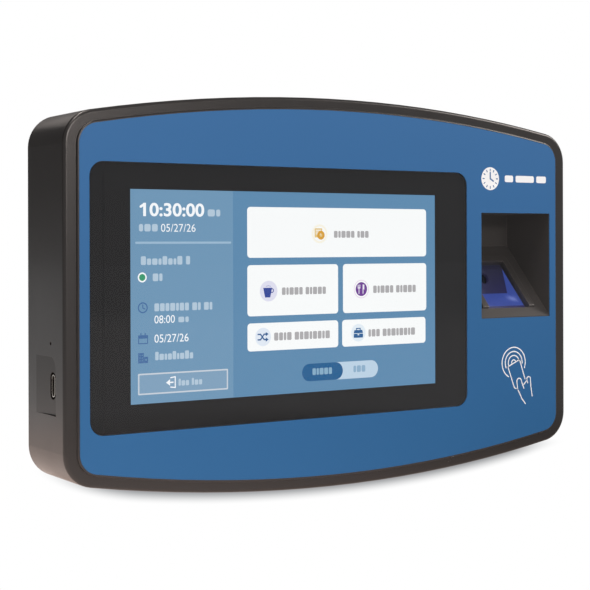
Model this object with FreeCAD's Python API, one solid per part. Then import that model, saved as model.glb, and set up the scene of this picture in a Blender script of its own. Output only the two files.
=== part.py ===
"""Wall-hung fingerprint terminal with a touch display, one STEP file per piece.

X runs to the right, Z up and Y back towards the wall. The origin is at the middle of
the wall plate's rear face. Depths (d) are measured back from the front of the fascia.
"""
import FreeCAD, Part
import math
import os

V = FreeCAD.Vector

# Case
DEPTH = 38.0             # front of the fascia to the wall
CASE_X = (-131.2, 132.7)
FRONT_X = (-130.4, 131.2)  # what the fascia and its plateau are set in from
CASE_HALF_H = 84.9       # at the middle of the bowed top and bottom edges
CASE_SIDE_H = 72.5       # where the bow would meet the straight sides
CASE_CORNER_R = 13.9
CASE_WALL = 2.5
CASE_BACK_D = 37.5
RIM_D = 1.0              # the rim lies this far behind the fascia
RIM_ROUND = 1.5
PLATEAU_D = 0.1
PLATEAU_INSET = 4.5
PLATEAU_ROUND = 0.8
FRONT_WALL_D = 3.4       # rear face of the front wall
FASCIA_INSET = 5.4
FASCIA_T = 0.4

# Display stack, from the front
GLASS_X = (-120.6, 70.1)
GLASS_Z = (-54.2, 54.1)
GLASS_R = 6.0
GLASS_T = 1.1
LEDGE_D = 1.9            # the shelf that carries the cover glass
OPENING_X = (-110.0, 58.5)
OPENING_Z = (-50.6, 50.9)
ACTIVE_X = (-102.3, 52.1)
ACTIVE_Z = (-42.75, 43.25)
PRINT_D = (GLASS_T, GLASS_T + 0.1)
TOUCH_D = (1.2, 1.4)
PANEL_D = (1.5, 3.3)
GUIDE_D = (3.4, 6.0)
TRAY_D = (1.6, 7.2)
BRACKET_D = (9.2, 10.2)
BRACKET_SCREWS = [(x, z) for x in (-115.5, 63.5) for z in (-38.0, 38.0)]

# Finger well
WELL_X = (78.9, 121.9)
WELL_Z = (-14.1, 35.7)
WELL_D = 31.0
WELL_WALL = 1.5
RAMP_T = 2.0
RAMP_ANGLE = 47.6        # of the ramp above the horizontal
PLATEN_X = 99.35         # middle of the platen
PLATEN_W = 25.3
PLATEN_V = (6.1, 35.1)   # measured up the ramp from its front edge
PLATEN_T = 0.8
LIP_W = 3.8
LIP_H = 1.1
APEX_V, APEX_W = 21.2, -7.2     # lowest line of the prism
CAMERA_FACE = (0.5 * (APEX_V + PLATEN_V[1]), 0.5 * (APEX_W - PLATEN_T))
CAMERA_DIR = V(0, 0.418, -0.908)    # out of the prism's far face, in ramp axes
CAMERA_BOARD_AT = 9.6               # from the prism's far face
FLANGE_GAP = 0.1
FLANGE_T = 1.5

# Side port and reset
PORT_D, PORT_Z = 14.5, -34.9
RESET_D, RESET_Z = 14.2, -18.0
POCKET_D = (9.1, 29.0)
POCKET_Z = (-46.5, -23.2)
POCKET_DEPTH = 1.5
PAD_X = -126.2           # inner face of the thick wall around the port
USB_X = (-129.9, -122.6)
SWITCH_X = (-124.4, -119.4)

# Boards
BOARD_D = (14.0, 15.6)
BOARD_X = (-70.0, 60.0)
BOARD_Z = (-60.0, 34.0)
BOARD_SCREWS = [(x, z) for x in (-64.0, 54.0) for z in (-36.0, 28.0)]
IO_D = (16.13, 17.33)
IO_X = (-126.0, -104.0)
IO_Z = (-46.0, -8.0)
IO_SCREWS = [(-108.5, z) for z in (-42.0, -12.0)]

# Back cover, wall plate and hooks
COVER_D = (35.0, CASE_BACK_D)
COVER_GAP = 0.1
RECESS_FLOOR_D = (31.2, 33.0)
RECESS_X = 71.0
RECESS_Z = (-59.5, 50.5)
RECESS_WALL = 1.8
PLATE_X = 70.0
PLATE_Z = 50.0
PLATE_T = 1.5
PLATE_R = 6.0
PLATE_HOLE_R = 2.25
PLATE_HOLE_PITCH = 75.0
LIFT = 8.0
HOOKS = [(x, z) for x in (-58.0, 58.0) for z in (-38.0, 28.0)]
HOOK_W = 12.0
HOOK_TIP = 7.5
HOOK_GAP = 0.3
CASE_SCREWS = [(x, z) for x in (-118.0, 118.0) for z in (-62.0, 62.0)] + [(-10.0, -72.5), (-10.0, 72.5)]
BOSS_R = 4.0

# Cable bay and sockets
BAY_X = (4.0, 56.0)
BAY_Z = (-77.5, -63.3)
BAY_D = 15.5
BAY_WALL = 1.5
EXIT_X = (20.0, 40.0)
EXIT_D = 27.0
NET_X = (12.0, 28.0)
NET_Z = (-62.6, -41.6)
NET_H = 13.5
POWER_X = (38.0, 47.0)
POWER_Z = (-62.6, -48.6)
POWER_H = 11.0

# Speaker
SPEAKER_X, SPEAKER_Z = 98.0, -42.0
SPEAKER_R = 14.0


def at(d):
    """Y of a depth behind the fascia."""
    return d - DEPTH


def block(x, d, z):
    """Box between pairs of X, depth and Z."""
    size = (x[1] - x[0], d[1] - d[0], z[1] - z[0])
    return Part.makeBox(*size, V(x[0], at(d[0]), z[0]))


def rounded(x, d, z, r):
    """Block with its four corners rounded in the front view."""
    solid = block(x, d, z)
    return solid.makeFillet(r, [e for e in solid.Edges if runs_along(e, V(0, 1, 0))])


def rod(x, z, r, d0, d1):
    """Cylinder along the depth."""
    return Part.makeCylinder(r, d1 - d0, V(x, at(d0), z), V(0, 1, 0))


def bored(x, z, r, hole, d0, d1):
    return rod(x, z, r, d0, d1).cut(rod(x, z, hole, d0 - 1, d1 + 1))


def grown(pair, by):
    return (pair[0] - by, pair[1] + by)


def runs_along(edge, direction):
    """True for a straight edge parallel to a direction."""
    if not isinstance(edge.Curve, Part.Line):
        return False
    return abs(abs(edge.Curve.Direction.dot(direction)) - 1) < 1e-6


def in_plane(edge, d):
    """True for an edge that lies at one depth."""
    box = edge.BoundBox
    return abs(box.YMin - at(d)) < 1e-4 and abs(box.YMax - at(d)) < 1e-4


def outline(inset, d0, d1, sides=CASE_X):
    """Solid of the case's bowed outline, moved in by inset, between two depths."""
    sag = CASE_HALF_H - CASE_SIDE_H
    middle, half_w = (sides[0] + sides[1]) / 2, (sides[1] - sides[0]) / 2
    bow_r = (half_w ** 2 + sag ** 2) / (2 * sag)
    centre = CASE_HALF_H - bow_r
    r = bow_r - inset
    half = half_w - inset
    side, top, y = centre + math.sqrt(r * r - half * half), centre + r, at(d0)
    left_top, right_top = V(middle - half, y, side), V(middle + half, y, side)
    left_low, right_low = V(middle - half, y, -side), V(middle + half, y, -side)
    wire = Part.Wire([
        Part.Arc(left_top, V(middle, y, top), right_top).toShape(),
        Part.makeLine(right_top, right_low),
        Part.Arc(right_low, V(middle, y, -top), left_low).toShape(),
        Part.makeLine(left_low, left_top),
    ])
    solid = Part.Face(wire).extrude(V(0, d1 - d0, 0))
    corners = [e for e in solid.Edges if runs_along(e, V(0, 1, 0))]
    return solid.makeFillet(CASE_CORNER_R - inset, corners)


def side_profile(points, x0, x1):
    """Extrusion along X of a polygon given as depth and Z."""
    loop = [V(x0, at(d), z) for d, z in points]
    return Part.Face(Part.makePolygon(loop + loop[:1])).extrude(V(x1 - x0, 0, 0))


def on_ramp(solid):
    """Moves a solid from ramp axes (X, up the ramp, out of the ramp) to its place."""
    solid.rotate(V(0, 0, 0), V(1, 0, 0), RAMP_ANGLE)
    solid.translate(V(PLATEN_X, at(0), WELL_Z[0]))
    return solid


def ramp_prism(points, half_w):
    """Prism across the ramp of a polygon given as distance up and out of the ramp."""
    loop = [V(-half_w, v, w) for v, w in points]
    return Part.Face(Part.makePolygon(loop + loop[:1])).extrude(V(2 * half_w, 0, 0))


def ramp_box(x, v, w):
    return Part.makeBox(x[1] - x[0], v[1] - v[0], w[1] - w[0], V(x[0], v[0], w[0]))


def joined(shapes):
    """Group of separate solids in one node."""
    return Part.makeCompound(shapes)


# ---------------------------------------------------------------- case

def port_pocket():
    """Shallow scoop in the left side, deepest at its front edge."""
    depth0, depth1 = POCKET_D
    face, y0, y1, z0 = CASE_X[0], at(depth0), at(depth1), POCKET_Z[0]
    corners = [V(face - 1, y0, z0), V(face + POCKET_DEPTH, y0, z0), V(face, y1, z0), V(face - 1, y1, z0)]
    height = POCKET_Z[1] - z0
    wedge = Part.Face(Part.makePolygon(corners + corners[:1])).extrude(V(0, 0, height))
    window = block((face - 2, face + 3), (depth0, depth1 + 6), POCKET_Z)
    upper = [e for e in window.Edges if runs_along(e, V(1, 0, 0)) and abs(e.BoundBox.YMin - y0) < 1e-4]
    upper = [e for e in upper if e.BoundBox.ZMin > PORT_Z]
    return wedge.common(window.makeFillet(5.0, upper))


def port_slot():
    """Round-ended slot through the side wall for the port."""
    half_long, half_short = 5.5, 2.25
    length = 8.0
    x = CASE_X[0] - 1
    slot = Part.makeBox(length, 2 * half_short, 2 * (half_long - half_short),
                        V(x, at(PORT_D) - half_short, PORT_Z - half_long + half_short))
    for z in (PORT_Z - half_long + half_short, PORT_Z + half_long - half_short):
        slot = slot.fuse(Part.makeCylinder(half_short, length, V(x, at(PORT_D), z), V(1, 0, 0)))
    return slot.removeSplitter()


def cable_exit():
    """Notch in the bottom of the case where the cables leave."""
    return block(EXIT_X, (EXIT_D, DEPTH), (-CASE_HALF_H - 2, BAY_Z[0] + 1))


def housing():
    """Front frame and side walls in one moulding."""
    shell = outline(0, RIM_D, CASE_BACK_D)
    shell = shell.makeFillet(RIM_ROUND, [e for e in shell.Edges if in_plane(e, RIM_D)])
    plateau = outline(PLATEAU_INSET, PLATEAU_D, RIM_D + 1, FRONT_X)
    plateau = plateau.makeFillet(PLATEAU_ROUND, [e for e in plateau.Edges if in_plane(e, PLATEAU_D)])
    shell = shell.fuse(plateau)
    shell = shell.cut(outline(CASE_WALL, FRONT_WALL_D, DEPTH + 1))
    shell = shell.cut(outline(FASCIA_INSET, -1, FASCIA_T, FRONT_X))
    shell = shell.cut(rounded(grown(GLASS_X, 0.1), (-1, LEDGE_D), grown(GLASS_Z, 0.1), GLASS_R))
    shell = shell.cut(block(OPENING_X, (0, FRONT_WALL_D + 1), OPENING_Z))
    hole = WELL_WALL + 0.1
    shell = shell.cut(block(grown(WELL_X, hole), (-1, FRONT_WALL_D + 1), grown(WELL_Z, hole)))
    pad = block((CASE_X[0] + CASE_WALL - 0.5, PAD_X), (7.0, 31.0), (-50.0, -12.0))
    shell = shell.fuse(pad).cut(port_pocket()).cut(port_slot())
    pinhole = Part.makeCylinder(0.75, 8, V(CASE_X[0] - 1, at(RESET_D), RESET_Z), V(1, 0, 0))
    shell = shell.cut(pinhole).cut(cable_exit())
    root = FRONT_WALL_D - 0.4
    for x, z in CASE_SCREWS:
        shell = shell.fuse(rod(x, z, BOSS_R, root, COVER_D[0])).cut(rod(x, z, 1.5, 22.0, COVER_D[0] + 1))
    for x, z in BRACKET_SCREWS:
        shell = shell.fuse(rod(x, z, 2.8, root, BRACKET_D[0])).cut(rod(x, z, 1.1, 4.4, BRACKET_D[0] + 1))
    for x, z in well_screws_at():
        shell = shell.fuse(rod(x, z, 2.2, root, FRONT_WALL_D + FLANGE_GAP)).cut(rod(x, z, 0.9, 1.9, FRONT_WALL_D + 1))
    return shell.removeSplitter()


def fascia_panel():
    """Coloured front sheet with openings for the cover glass and the finger well."""
    sheet = outline(FASCIA_INSET + 0.05, 0, FASCIA_T, FRONT_X)
    sheet = sheet.cut(rounded(grown(GLASS_X, 0.1), (-1, 2), grown(GLASS_Z, 0.1), GLASS_R))
    return sheet.cut(rounded(WELL_X, (-1, 2), WELL_Z, 0.4))


def speaker_grille():
    """Rings of sound holes."""
    holes = [rod(SPEAKER_X, SPEAKER_Z, 1.0, 34, 39)]
    for ring, count in ((3.6, 6), (7.2, 12), (10.8, 18)):
        for i in range(count):
            turn = 2 * math.pi * i / count
            x, z = SPEAKER_X + ring * math.cos(turn), SPEAKER_Z + ring * math.sin(turn)
            holes.append(rod(x, z, 1.0, 34, 39))
    return joined(holes)


def back_cover():
    """Rear shell with the wall plate's recess, the hook slots and the cable bay."""
    cover = outline(CASE_WALL + COVER_GAP, *COVER_D)
    pan = rounded(grown((-RECESS_X, RECESS_X), RECESS_WALL), (RECESS_FLOOR_D[0], COVER_D[1]),
                  grown(RECESS_Z, RECESS_WALL), 3.0)
    bay = block(grown(BAY_X, BAY_WALL), (BAY_D - BAY_WALL, COVER_D[1]), grown(BAY_Z, BAY_WALL))
    cover = cover.fuse(pan).fuse(bay)
    cover = cover.cut(rounded((-RECESS_X, RECESS_X), (RECESS_FLOOR_D[1], DEPTH), RECESS_Z, 2.0))
    cover = cover.cut(block(BAY_X, (BAY_D, DEPTH), BAY_Z))
    cable_channel = block((10.0, 50.0), (RECESS_FLOOR_D[1], DEPTH), (BAY_Z[1] - 1, RECESS_Z[0] + 1))
    cover = cover.cut(cable_channel).cut(cable_exit())
    for x, z in HOOKS:
        half = HOOK_W / 2 + 1
        slot = block((x - half, x + half), (30.0, 34.0), (z - LIFT - 0.6, z + PLATE_T + 0.1))
        cover = cover.cut(slot)
    for x, h in ((NET_X, NET_H), (POWER_X, POWER_H)):
        cover = cover.cut(block(grown(x, 0.2), (BOARD_D[1] - 0.2, BOARD_D[1] + h + 0.2), (-66.0, -60.0)))
    for x, z in CASE_SCREWS:
        cover = cover.cut(rod(x, z, 1.7, 34, 39)).cut(rod(x, z, 3.2, 36.0, 39))
    return cover.cut(speaker_grille()).removeSplitter()


def case_screws():
    return joined([rod(x, z, 2.9, 36.0, 37.3).cut(rod(x, z, 1.1, 36.5, 38)).fuse(rod(x, z, 1.45, 25.0, 36.2))
                   for x, z in CASE_SCREWS])


def hook(x, z):
    """Tab bent forward from the plate and then up."""
    half = HOOK_W / 2
    tip = RECESS_FLOOR_D[0] - HOOK_GAP
    leg = block((x - half, x + half), (tip - PLATE_T, DEPTH - 0.5), (z, z + PLATE_T))
    return leg.fuse(block((x - half, x + half), (tip - PLATE_T, tip), (z, z + HOOK_TIP)))


def wall_plate():
    """Steel plate that is screwed to the wall and carries the terminal on four hooks."""
    faces = (DEPTH - PLATE_T, DEPTH)
    plate = rounded((-PLATE_X, PLATE_X), faces, (-PLATE_Z, PLATE_Z), PLATE_R)
    for x, z in HOOKS:
        half = HOOK_W / 2 + 0.6
        plate = plate.cut(block((x - half, x + half), (30, 40), (z + PLATE_T, z + PLATE_T + 10.5)))
    for x, z in HOOKS:
        plate = plate.fuse(hook(x, z))
    half = PLATE_HOLE_PITCH / 2
    for x in (-half, half):
        for z in (-half, half):
            plate = plate.cut(rod(x, z, PLATE_HOLE_R, 36, 39))
    return plate.cut(rounded((-25.0, 25.0), (30, 40), (-44.0, -20.0), 3.0)).removeSplitter()


# ---------------------------------------------------------------- display

def cover_glass():
    return rounded(GLASS_X, (0, GLASS_T), GLASS_Z, GLASS_R)


def glass_border():
    """Black print behind the glass, around the display window."""
    ring = rounded(grown(GLASS_X, -0.2), PRINT_D, grown(GLASS_Z, -0.2), GLASS_R - 0.2)
    return ring.cut(block(grown(ACTIVE_X, 0.2), (0, 3), grown(ACTIVE_Z, 0.2)))


def glass_tape():
    """Foam tape between the glass and its ledge."""
    ring = rounded(grown(GLASS_X, -0.6), (PRINT_D[1], LEDGE_D), grown(GLASS_Z, -0.6), GLASS_R - 0.6)
    return ring.cut(block(grown(OPENING_X, 0.2), (0, 3), grown(OPENING_Z, 0.2)))


def touch_sensor():
    return block((-108.5, 57.0), TOUCH_D, (-49.5, 50.0))


def lcd_panel():
    return block((-106.9, 56.6), PANEL_D, (-47.6, 48.2))


def light_guide():
    return block((-106.9, 56.6), GUIDE_D, (-47.6, 48.2))


def lcd_tray():
    """Pressed metal tray around the panel and its light guide."""
    tray = rounded((-108.2, 57.9), TRAY_D, (-49.0, 49.6), 1.0)
    return tray.cut(block((-107.2, 56.9), (0, TRAY_D[1] - 0.8), (-48.0, 48.6)))


def lcd_cushions():
    """Foam strips that the bracket presses on the tray."""
    return joined([block((-95.0, 45.0), (TRAY_D[1], BRACKET_D[0]), (z, z + 6)) for z in (-42.0, 36.0)])


def lcd_bracket():
    """Steel sheet that holds the display and carries both boards."""
    sheet = rounded((-119.0, 67.0), BRACKET_D, (-45.0, 44.0), 3.0)
    for x in ((-92.0, -74.0), (0.0, 40.0)):
        sheet = sheet.cut(rounded(x, (8, 12), (-26.0, 20.0), 2.5))
    for x, z in BRACKET_SCREWS:
        sheet = sheet.cut(rod(x, z, 1.4, 8, 12))
    for x, z in BOARD_SCREWS + IO_SCREWS:
        sheet = sheet.cut(rod(x, z, 1.2, 8, 12))
    return sheet


def bracket_screws():
    d = BRACKET_D[1]
    return joined([rod(x, z, 2.3, d, d + 1.6).fuse(rod(x, z, 1.05, 5.0, d + 0.2)) for x, z in BRACKET_SCREWS])


# ---------------------------------------------------------------- finger well and sensor

def well_screws_at():
    return [(x, z) for x in (WELL_X[0] - 4.0, WELL_X[1] + 4.0) for z in (WELL_Z[0] + 4.0, WELL_Z[1] - 4.0)]


def ramp_height(d):
    """Z of the ramp's surface at a depth."""
    return WELL_Z[0] + d * math.tan(math.radians(RAMP_ANGLE))


def finger_well():
    """Deep pocket with a sloped floor, a window for the platen and a raised lip round it."""
    x0, x1 = WELL_X
    z0, z1 = WELL_Z
    front, back = FASCIA_T + 0.05, WELL_D + WELL_WALL
    drop = RAMP_T / math.cos(math.radians(RAMP_ANGLE))
    low = z0 - WELL_WALL
    heel = (low + drop - z0) / math.tan(math.radians(RAMP_ANGLE))
    body = side_profile([(front, low), (heel, low), (back, ramp_height(back) - drop),
                         (back, z1 + WELL_WALL), (front, z1 + WELL_WALL)], x0 - WELL_WALL, x1 + WELL_WALL)
    flange_d = FRONT_WALL_D + FLANGE_GAP
    flange = block((x0 - 6.5, x1 + 5.9), (flange_d, flange_d + FLANGE_T), (z0 - 5, z1 + 5))
    body = body.fuse(flange)
    body = body.cut(side_profile([(0, z0), (WELL_D, ramp_height(WELL_D)), (WELL_D, z1), (0, z1)], x0, x1))
    under = [(heel + 0.01, low), (back, ramp_height(back) - drop), (back, low - 10), (heel + 0.01, low - 10)]
    body = body.cut(side_profile(under, x0 - 1.4, x1 + 1.4))
    for x, z in well_screws_at():
        body = body.cut(rod(x, z, 1.2, 3, 6))
    half = PLATEN_W / 2
    v0, v1 = PLATEN_V
    lip = ramp_box((-half - LIP_W, half + LIP_W), (v0, v1 + LIP_W), (-0.5, LIP_H))
    lip = lip.makeFillet(2.0, [e for e in lip.Edges
                               if runs_along(e, V(0, 0, 1)) and e.BoundBox.YMin > v0 + 1])
    lip = lip.makeFillet(0.6, [e for e in lip.Edges if e.BoundBox.ZMin > LIP_H - 1e-4])
    window = ramp_box((-half - 0.05, half + 0.05), (v0 - 0.05, v1 + 0.05), (-6, 5))
    mouth = ramp_box((-half - 0.05, half + 0.05), (v0 - 5, v0 + 1), (0, 5))
    body = body.fuse(on_ramp(lip)).cut(on_ramp(window)).cut(on_ramp(mouth))
    return body.removeSplitter()


def well_screws():
    d = FRONT_WALL_D + FLANGE_GAP + FLANGE_T
    return joined([rod(x, z, 1.9, d, d + 1.3).fuse(rod(x, z, 0.85, 2.2, d + 0.2)) for x, z in well_screws_at()])


def sensor_platen():
    half = PLATEN_W / 2
    return on_ramp(ramp_box((-half, half), PLATEN_V, (-PLATEN_T, 0)))


def prism_profile(grow):
    """Triangle under the platen: near edge, apex and far edge."""
    top = -PLATEN_T - 0.02
    return [(PLATEN_V[0] - grow, top), (APEX_V, APEX_W - grow), (PLATEN_V[1] + grow, top)]


def sensor_prism():
    return on_ramp(ramp_prism(prism_profile(0), PLATEN_W / 2 - 0.05))


def sensor_cradle():
    """Tray under the ramp that holds the prism."""
    half = PLATEN_W / 2
    tray = ramp_box((-half - 2, half + 2), (PLATEN_V[0] - 1.5, PLATEN_V[1] + 1.5), (APEX_W - 1.5, -RAMP_T - 0.05))
    top = -RAMP_T + 1
    pocket = ramp_prism(prism_profile(0.05) + [(PLATEN_V[1] + 0.05, top), (PLATEN_V[0] - 0.05, top)], half)
    camera_hole = tilted_rod(CAMERA_FACE, 2.6, -1.0, 12.0).fuse(tilted_rod(CAMERA_FACE, 3.6, 4.0, 12.0))
    led_slot = ramp_box((-9, 9), (9, 12.5), (APEX_W - 3, -4.2))
    return on_ramp(tray.cut(pocket).cut(camera_hole).cut(led_slot))


def tilted_rod(face, r, start, end):
    """Cylinder along the camera's axis, between two distances from the prism's far face."""
    base = V(0, face[0], face[1]) + CAMERA_DIR * start
    return Part.makeCylinder(r, end - start, base, CAMERA_DIR)


def sensor_lens():
    barrel = tilted_rod(CAMERA_FACE, 2.4, 1.5, 6.2)
    return on_ramp(barrel.fuse(tilted_rod(CAMERA_FACE, 3.4, 6.0, CAMERA_BOARD_AT - 0.05)))


def sensor_board():
    board = Part.makeBox(24, 14, 1.2, V(-12, -7, -1.2))
    board.rotate(V(0, 0, 0), V(1, 0, 0), math.degrees(math.atan2(CAMERA_DIR.y, -CAMERA_DIR.z)))
    board.translate(V(0, CAMERA_FACE[0], CAMERA_FACE[1]) + CAMERA_DIR * CAMERA_BOARD_AT)
    return on_ramp(board)


def sensor_led_board():
    return on_ramp(ramp_box((-11, 11), (6, 15), (APEX_W - 3.2, APEX_W - 2.2)))


def sensor_leds():
    return on_ramp(joined([ramp_box((x - 1.2, x + 1.2), (9.6, 12.0), (APEX_W - 2.2, APEX_W - 1.2))
                           for x in (-7.0, 0.0, 7.0)]))


# ---------------------------------------------------------------- boards

def standoffs(places, d0, d1):
    return joined([bored(x, z, 2.5, 1.25, d0, d1) for x, z in places])


def board_screws_for(places, d):
    return joined([rod(x, z, 2.2, d, d + 1.5).fuse(rod(x, z, 1.15, d - 4.5, d + 0.2)) for x, z in places])


def drilled_board(x, d, z, holes):
    board = rounded(x, d, z, 2.0)
    for hx, hz in holes:
        board = board.cut(rod(hx, hz, 1.25, d[0] - 1, d[1] + 1))
    return board


def on_board(x, z, height, board=BOARD_D):
    """Block on the rear face of a board."""
    return block(x, (board[1], board[1] + height), z)


def heat_spreader():
    """Finned block on the processor."""
    top = BOARD_D[1] + 1.4
    fins = block((-20.0, 4.0), (top, top + 7), (-12.0, 12.0))
    for i in range(5):
        x = -18.0 + 4.4 * i
        fins = fins.cut(block((x, x + 2.4), (top + 2, top + 8), (-13, 13)))
    return fins


def memory_chips():
    return joined([on_board((14.0, 23.0), (z, z + 11), 1.0) for z in (-12.0, 2.0)])


def capacitors():
    places = [(36.0, -30.0), (45.0, -30.0), (36.0, -21.0)]
    return joined([rod(x, z, 3.1, BOARD_D[1], BOARD_D[1] + 7.7) for x, z in places])


def ribbon_sockets():
    """Flat-cable sockets, three on the main board and one on the small board."""
    places = [((-45.0, -25.0), (28.0, 33.0)), ((52.0, 57.0), (-8.0, 8.0)), ((-68.0, -63.0), (-22.0, -8.0))]
    sockets = [on_board(x, z, 2.0) for x, z in places]
    return joined(sockets + [on_board((-109.0, -105.0), (-34.0, -20.0), 2.0, IO_D)])


def network_jack():
    """Socket for a network plug, its mouth facing down."""
    x0, x1 = NET_X
    d0 = BOARD_D[1]
    body = block(NET_X, (d0, d0 + NET_H), NET_Z)
    body = body.cut(block((x0 + 2.1, x1 - 2.1), (d0 + 2.2, d0 + 10.4), (NET_Z[0] - 1, NET_Z[0] + 14)))
    return body.cut(block((x0 + 5.0, x1 - 5.0), (d0 + 9.0, d0 + 12.2), (NET_Z[0] - 1, NET_Z[0] + 9)))


def network_contacts():
    x0, d0 = NET_X[0] + 4.2, BOARD_D[1] + 2.2
    wires = []
    for i in range(8):
        x = x0 + 1.02 * i
        wires.append(block((x, x + 0.4), (d0 + 0.05, d0 + 0.6), (NET_Z[0] + 2, NET_Z[0] + 13.9)))
    return joined(wires)


def power_jack():
    """Barrel socket for the power lead, its mouth facing down."""
    mid_x, d = 0.5 * (POWER_X[0] + POWER_X[1]), BOARD_D[1] + 6.0
    body = block(POWER_X, (BOARD_D[1], BOARD_D[1] + POWER_H), POWER_Z)
    return body.cut(Part.makeCylinder(3.2, 10.5, V(mid_x, at(d), POWER_Z[0] - 0.5), V(0, 0, 1)))


def power_pin():
    mid_x, d = 0.5 * (POWER_X[0] + POWER_X[1]), BOARD_D[1] + 6.0
    return Part.makeCylinder(1.0, 9.0, V(mid_x, at(d), POWER_Z[0] + 1.0), V(0, 0, 1))


def battery_holder():
    ring = rod(-50.0, -46.0, 11.6, BOARD_D[1], BOARD_D[1] + 3.6)
    return ring.cut(rod(-50.0, -46.0, 10.1, BOARD_D[1] + 0.6, BOARD_D[1] + 5))


def backup_battery():
    return rod(-50.0, -46.0, 10.0, BOARD_D[1] + 0.65, BOARD_D[1] + 3.85)


# ---------------------------------------------------------------- side port and reset

def stadium(x0, x1, half_short, half_long):
    """Round-ended bar along X at the port."""
    bar = Part.makeBox(x1 - x0, 2 * half_short, 2 * (half_long - half_short),
                       V(x0, at(PORT_D) - half_short, PORT_Z - half_long + half_short))
    for z in (PORT_Z - half_long + half_short, PORT_Z + half_long - half_short):
        bar = bar.fuse(Part.makeCylinder(half_short, x1 - x0, V(x0, at(PORT_D), z), V(1, 0, 0)))
    return bar.removeSplitter()


def usb_port_shell():
    shell = stadium(*USB_X, 1.63, 4.47)
    return shell.cut(stadium(USB_X[0] - 1, USB_X[1] - 0.8, 1.28, 4.17))


def usb_port_tongue():
    """Contact tongue on its insulating base."""
    base = stadium(USB_X[1] - 2.2, USB_X[1] - 0.85, 1.24, 4.12)
    tongue = Part.makeBox(4.6, 0.7, 6.7, V(USB_X[0] + 0.6, at(PORT_D) - 0.35, PORT_Z - 3.35))
    return base.fuse(tongue)


def reset_switch():
    """Body of the side-acting switch behind the pinhole."""
    body = block(SWITCH_X, (RESET_D - 1.75, IO_D[0]), (RESET_Z - 3, RESET_Z + 3))
    return body.cut(Part.makeCylinder(0.95, 3.0, V(SWITCH_X[0] - 0.5, at(RESET_D), RESET_Z), V(1, 0, 0)))


def reset_button():
    x = SWITCH_X[0] - 1.3
    head = Part.makeCylinder(1.3, 0.6, V(x, at(RESET_D), RESET_Z), V(1, 0, 0))
    return head.fuse(Part.makeCylinder(0.85, 2.8, V(x + 0.4, at(RESET_D), RESET_Z), V(1, 0, 0)))


# ---------------------------------------------------------------- sound, antennas and leads

def speaker_frame():
    """Round basket with a back plate."""
    frame = bored(SPEAKER_X, SPEAKER_Z, SPEAKER_R, SPEAKER_R - 1.5, 30.4, 34.4)
    return frame.fuse(bored(SPEAKER_X, SPEAKER_Z, SPEAKER_R - 1.0, 6.6, 30.4, 31.2))


def speaker_magnet():
    return rod(SPEAKER_X, SPEAKER_Z, 6.5, 27.2, 31.4)


def speaker_cone():
    """Thin paper cone with a flat centre."""
    def cone(d):
        return Part.makeCone(3.5, 12.3, 1.9, V(SPEAKER_X, at(d), SPEAKER_Z), V(0, 1, 0))
    return cone(31.7).cut(cone(32.0))


def speaker_gasket():
    return bored(SPEAKER_X, SPEAKER_Z, SPEAKER_R, SPEAKER_R - 2.0, 34.4, COVER_D[0])


def card_antenna_board():
    return rounded((82.0, 113.5), (FRONT_WALL_D + 0.2, FRONT_WALL_D + 1.0), (-57.0, -22.0), 1.5)


def card_antenna_coil():
    """Nested square loops of copper."""
    d = (FRONT_WALL_D + 1.0, FRONT_WALL_D + 1.1)
    loops = []
    for i in range(4):
        step = 1.4 * i
        x, z = grown((83.5, 112.0), -step), grown((-55.5, -23.5), -step)
        loops.append(block(x, d, z).cut(block(grown(x, -0.8), (0, 9), grown(z, -0.8))))
    return joined(loops)


def wifi_antenna():
    return rounded((-60.0, -22.0), (FRONT_WALL_D + 0.1, FRONT_WALL_D + 0.9), (59.0, 68.0), 1.0)


def lead(points, r):
    """Round wire along straight runs joined by tangent arcs."""
    path, last = [], points[0]
    for before, here, after in zip(points, points[1:], points[2:]):
        to_before, to_after = (before - here), (after - here)
        short = min(to_before.Length, to_after.Length)
        to_before.normalize()
        to_after.normalize()
        cut = 0.45 * short
        turn = math.pi - to_before.getAngle(to_after)
        radius = cut / math.tan(turn / 2)
        middle = to_before + to_after
        middle.normalize()
        centre = here + middle * (radius / math.cos(turn / 2))
        start, end = here + to_before * cut, here + to_after * cut
        path.append(Part.makeLine(last, start))
        path.append(Part.Arc(start, centre - middle * radius, end).toShape())
        last = end
    path.append(Part.makeLine(last, points[-1]))
    wire = Part.Wire(path)
    disc = Part.Wire(Part.makeCircle(r, points[0], points[1] - points[0]))
    return wire.makePipeShell([disc], True, True)


def antenna_lead():
    """Thin coaxial lead from the antenna round the display to the radio module."""
    places = [(-41.0, 4.9, 63.5), (-41.0, 10.0, 61.0), (-44.0, 15.0, 54.0), (-46.0, 19.5, 44.0),
              (-48.0, 20.5, 34.0), (-50.0, 19.4, 24.0)]
    return lead([V(x, at(d), z) for x, d, z in places], 0.65)


def ribbon(path, across, width, thick=0.3):
    """Flat cable: a folded strip given by depth and one other coordinate, as wide as asked."""
    strips = []
    for (d0, s0), (d1, s1) in zip(path, path[1:]):
        d, s = grown(sorted((d0, d1)), thick / 2), grown(sorted((s0, s1)), thick / 2)
        strips.append(block(width, d, s) if across == "x" else block(s, d, width))
    solid = strips[0]
    for strip in strips[1:]:
        solid = solid.fuse(strip)
    return solid.removeSplitter()


def lcd_ribbon():
    """From the top of the display over the bracket's edge to the main board."""
    return ribbon([(6.8, 49.9), (6.8, 52.0), (18.3, 52.0), (18.3, 30.5)], "x", (-43.0, -27.0))


def io_ribbon():
    """Between the small port board and the main board."""
    return ribbon([(19.6, -107.0), (22.0, -107.0), (22.0, -65.5), (17.9, -65.5)], "z", (-20.6, -9.4 - 0.1))


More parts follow.
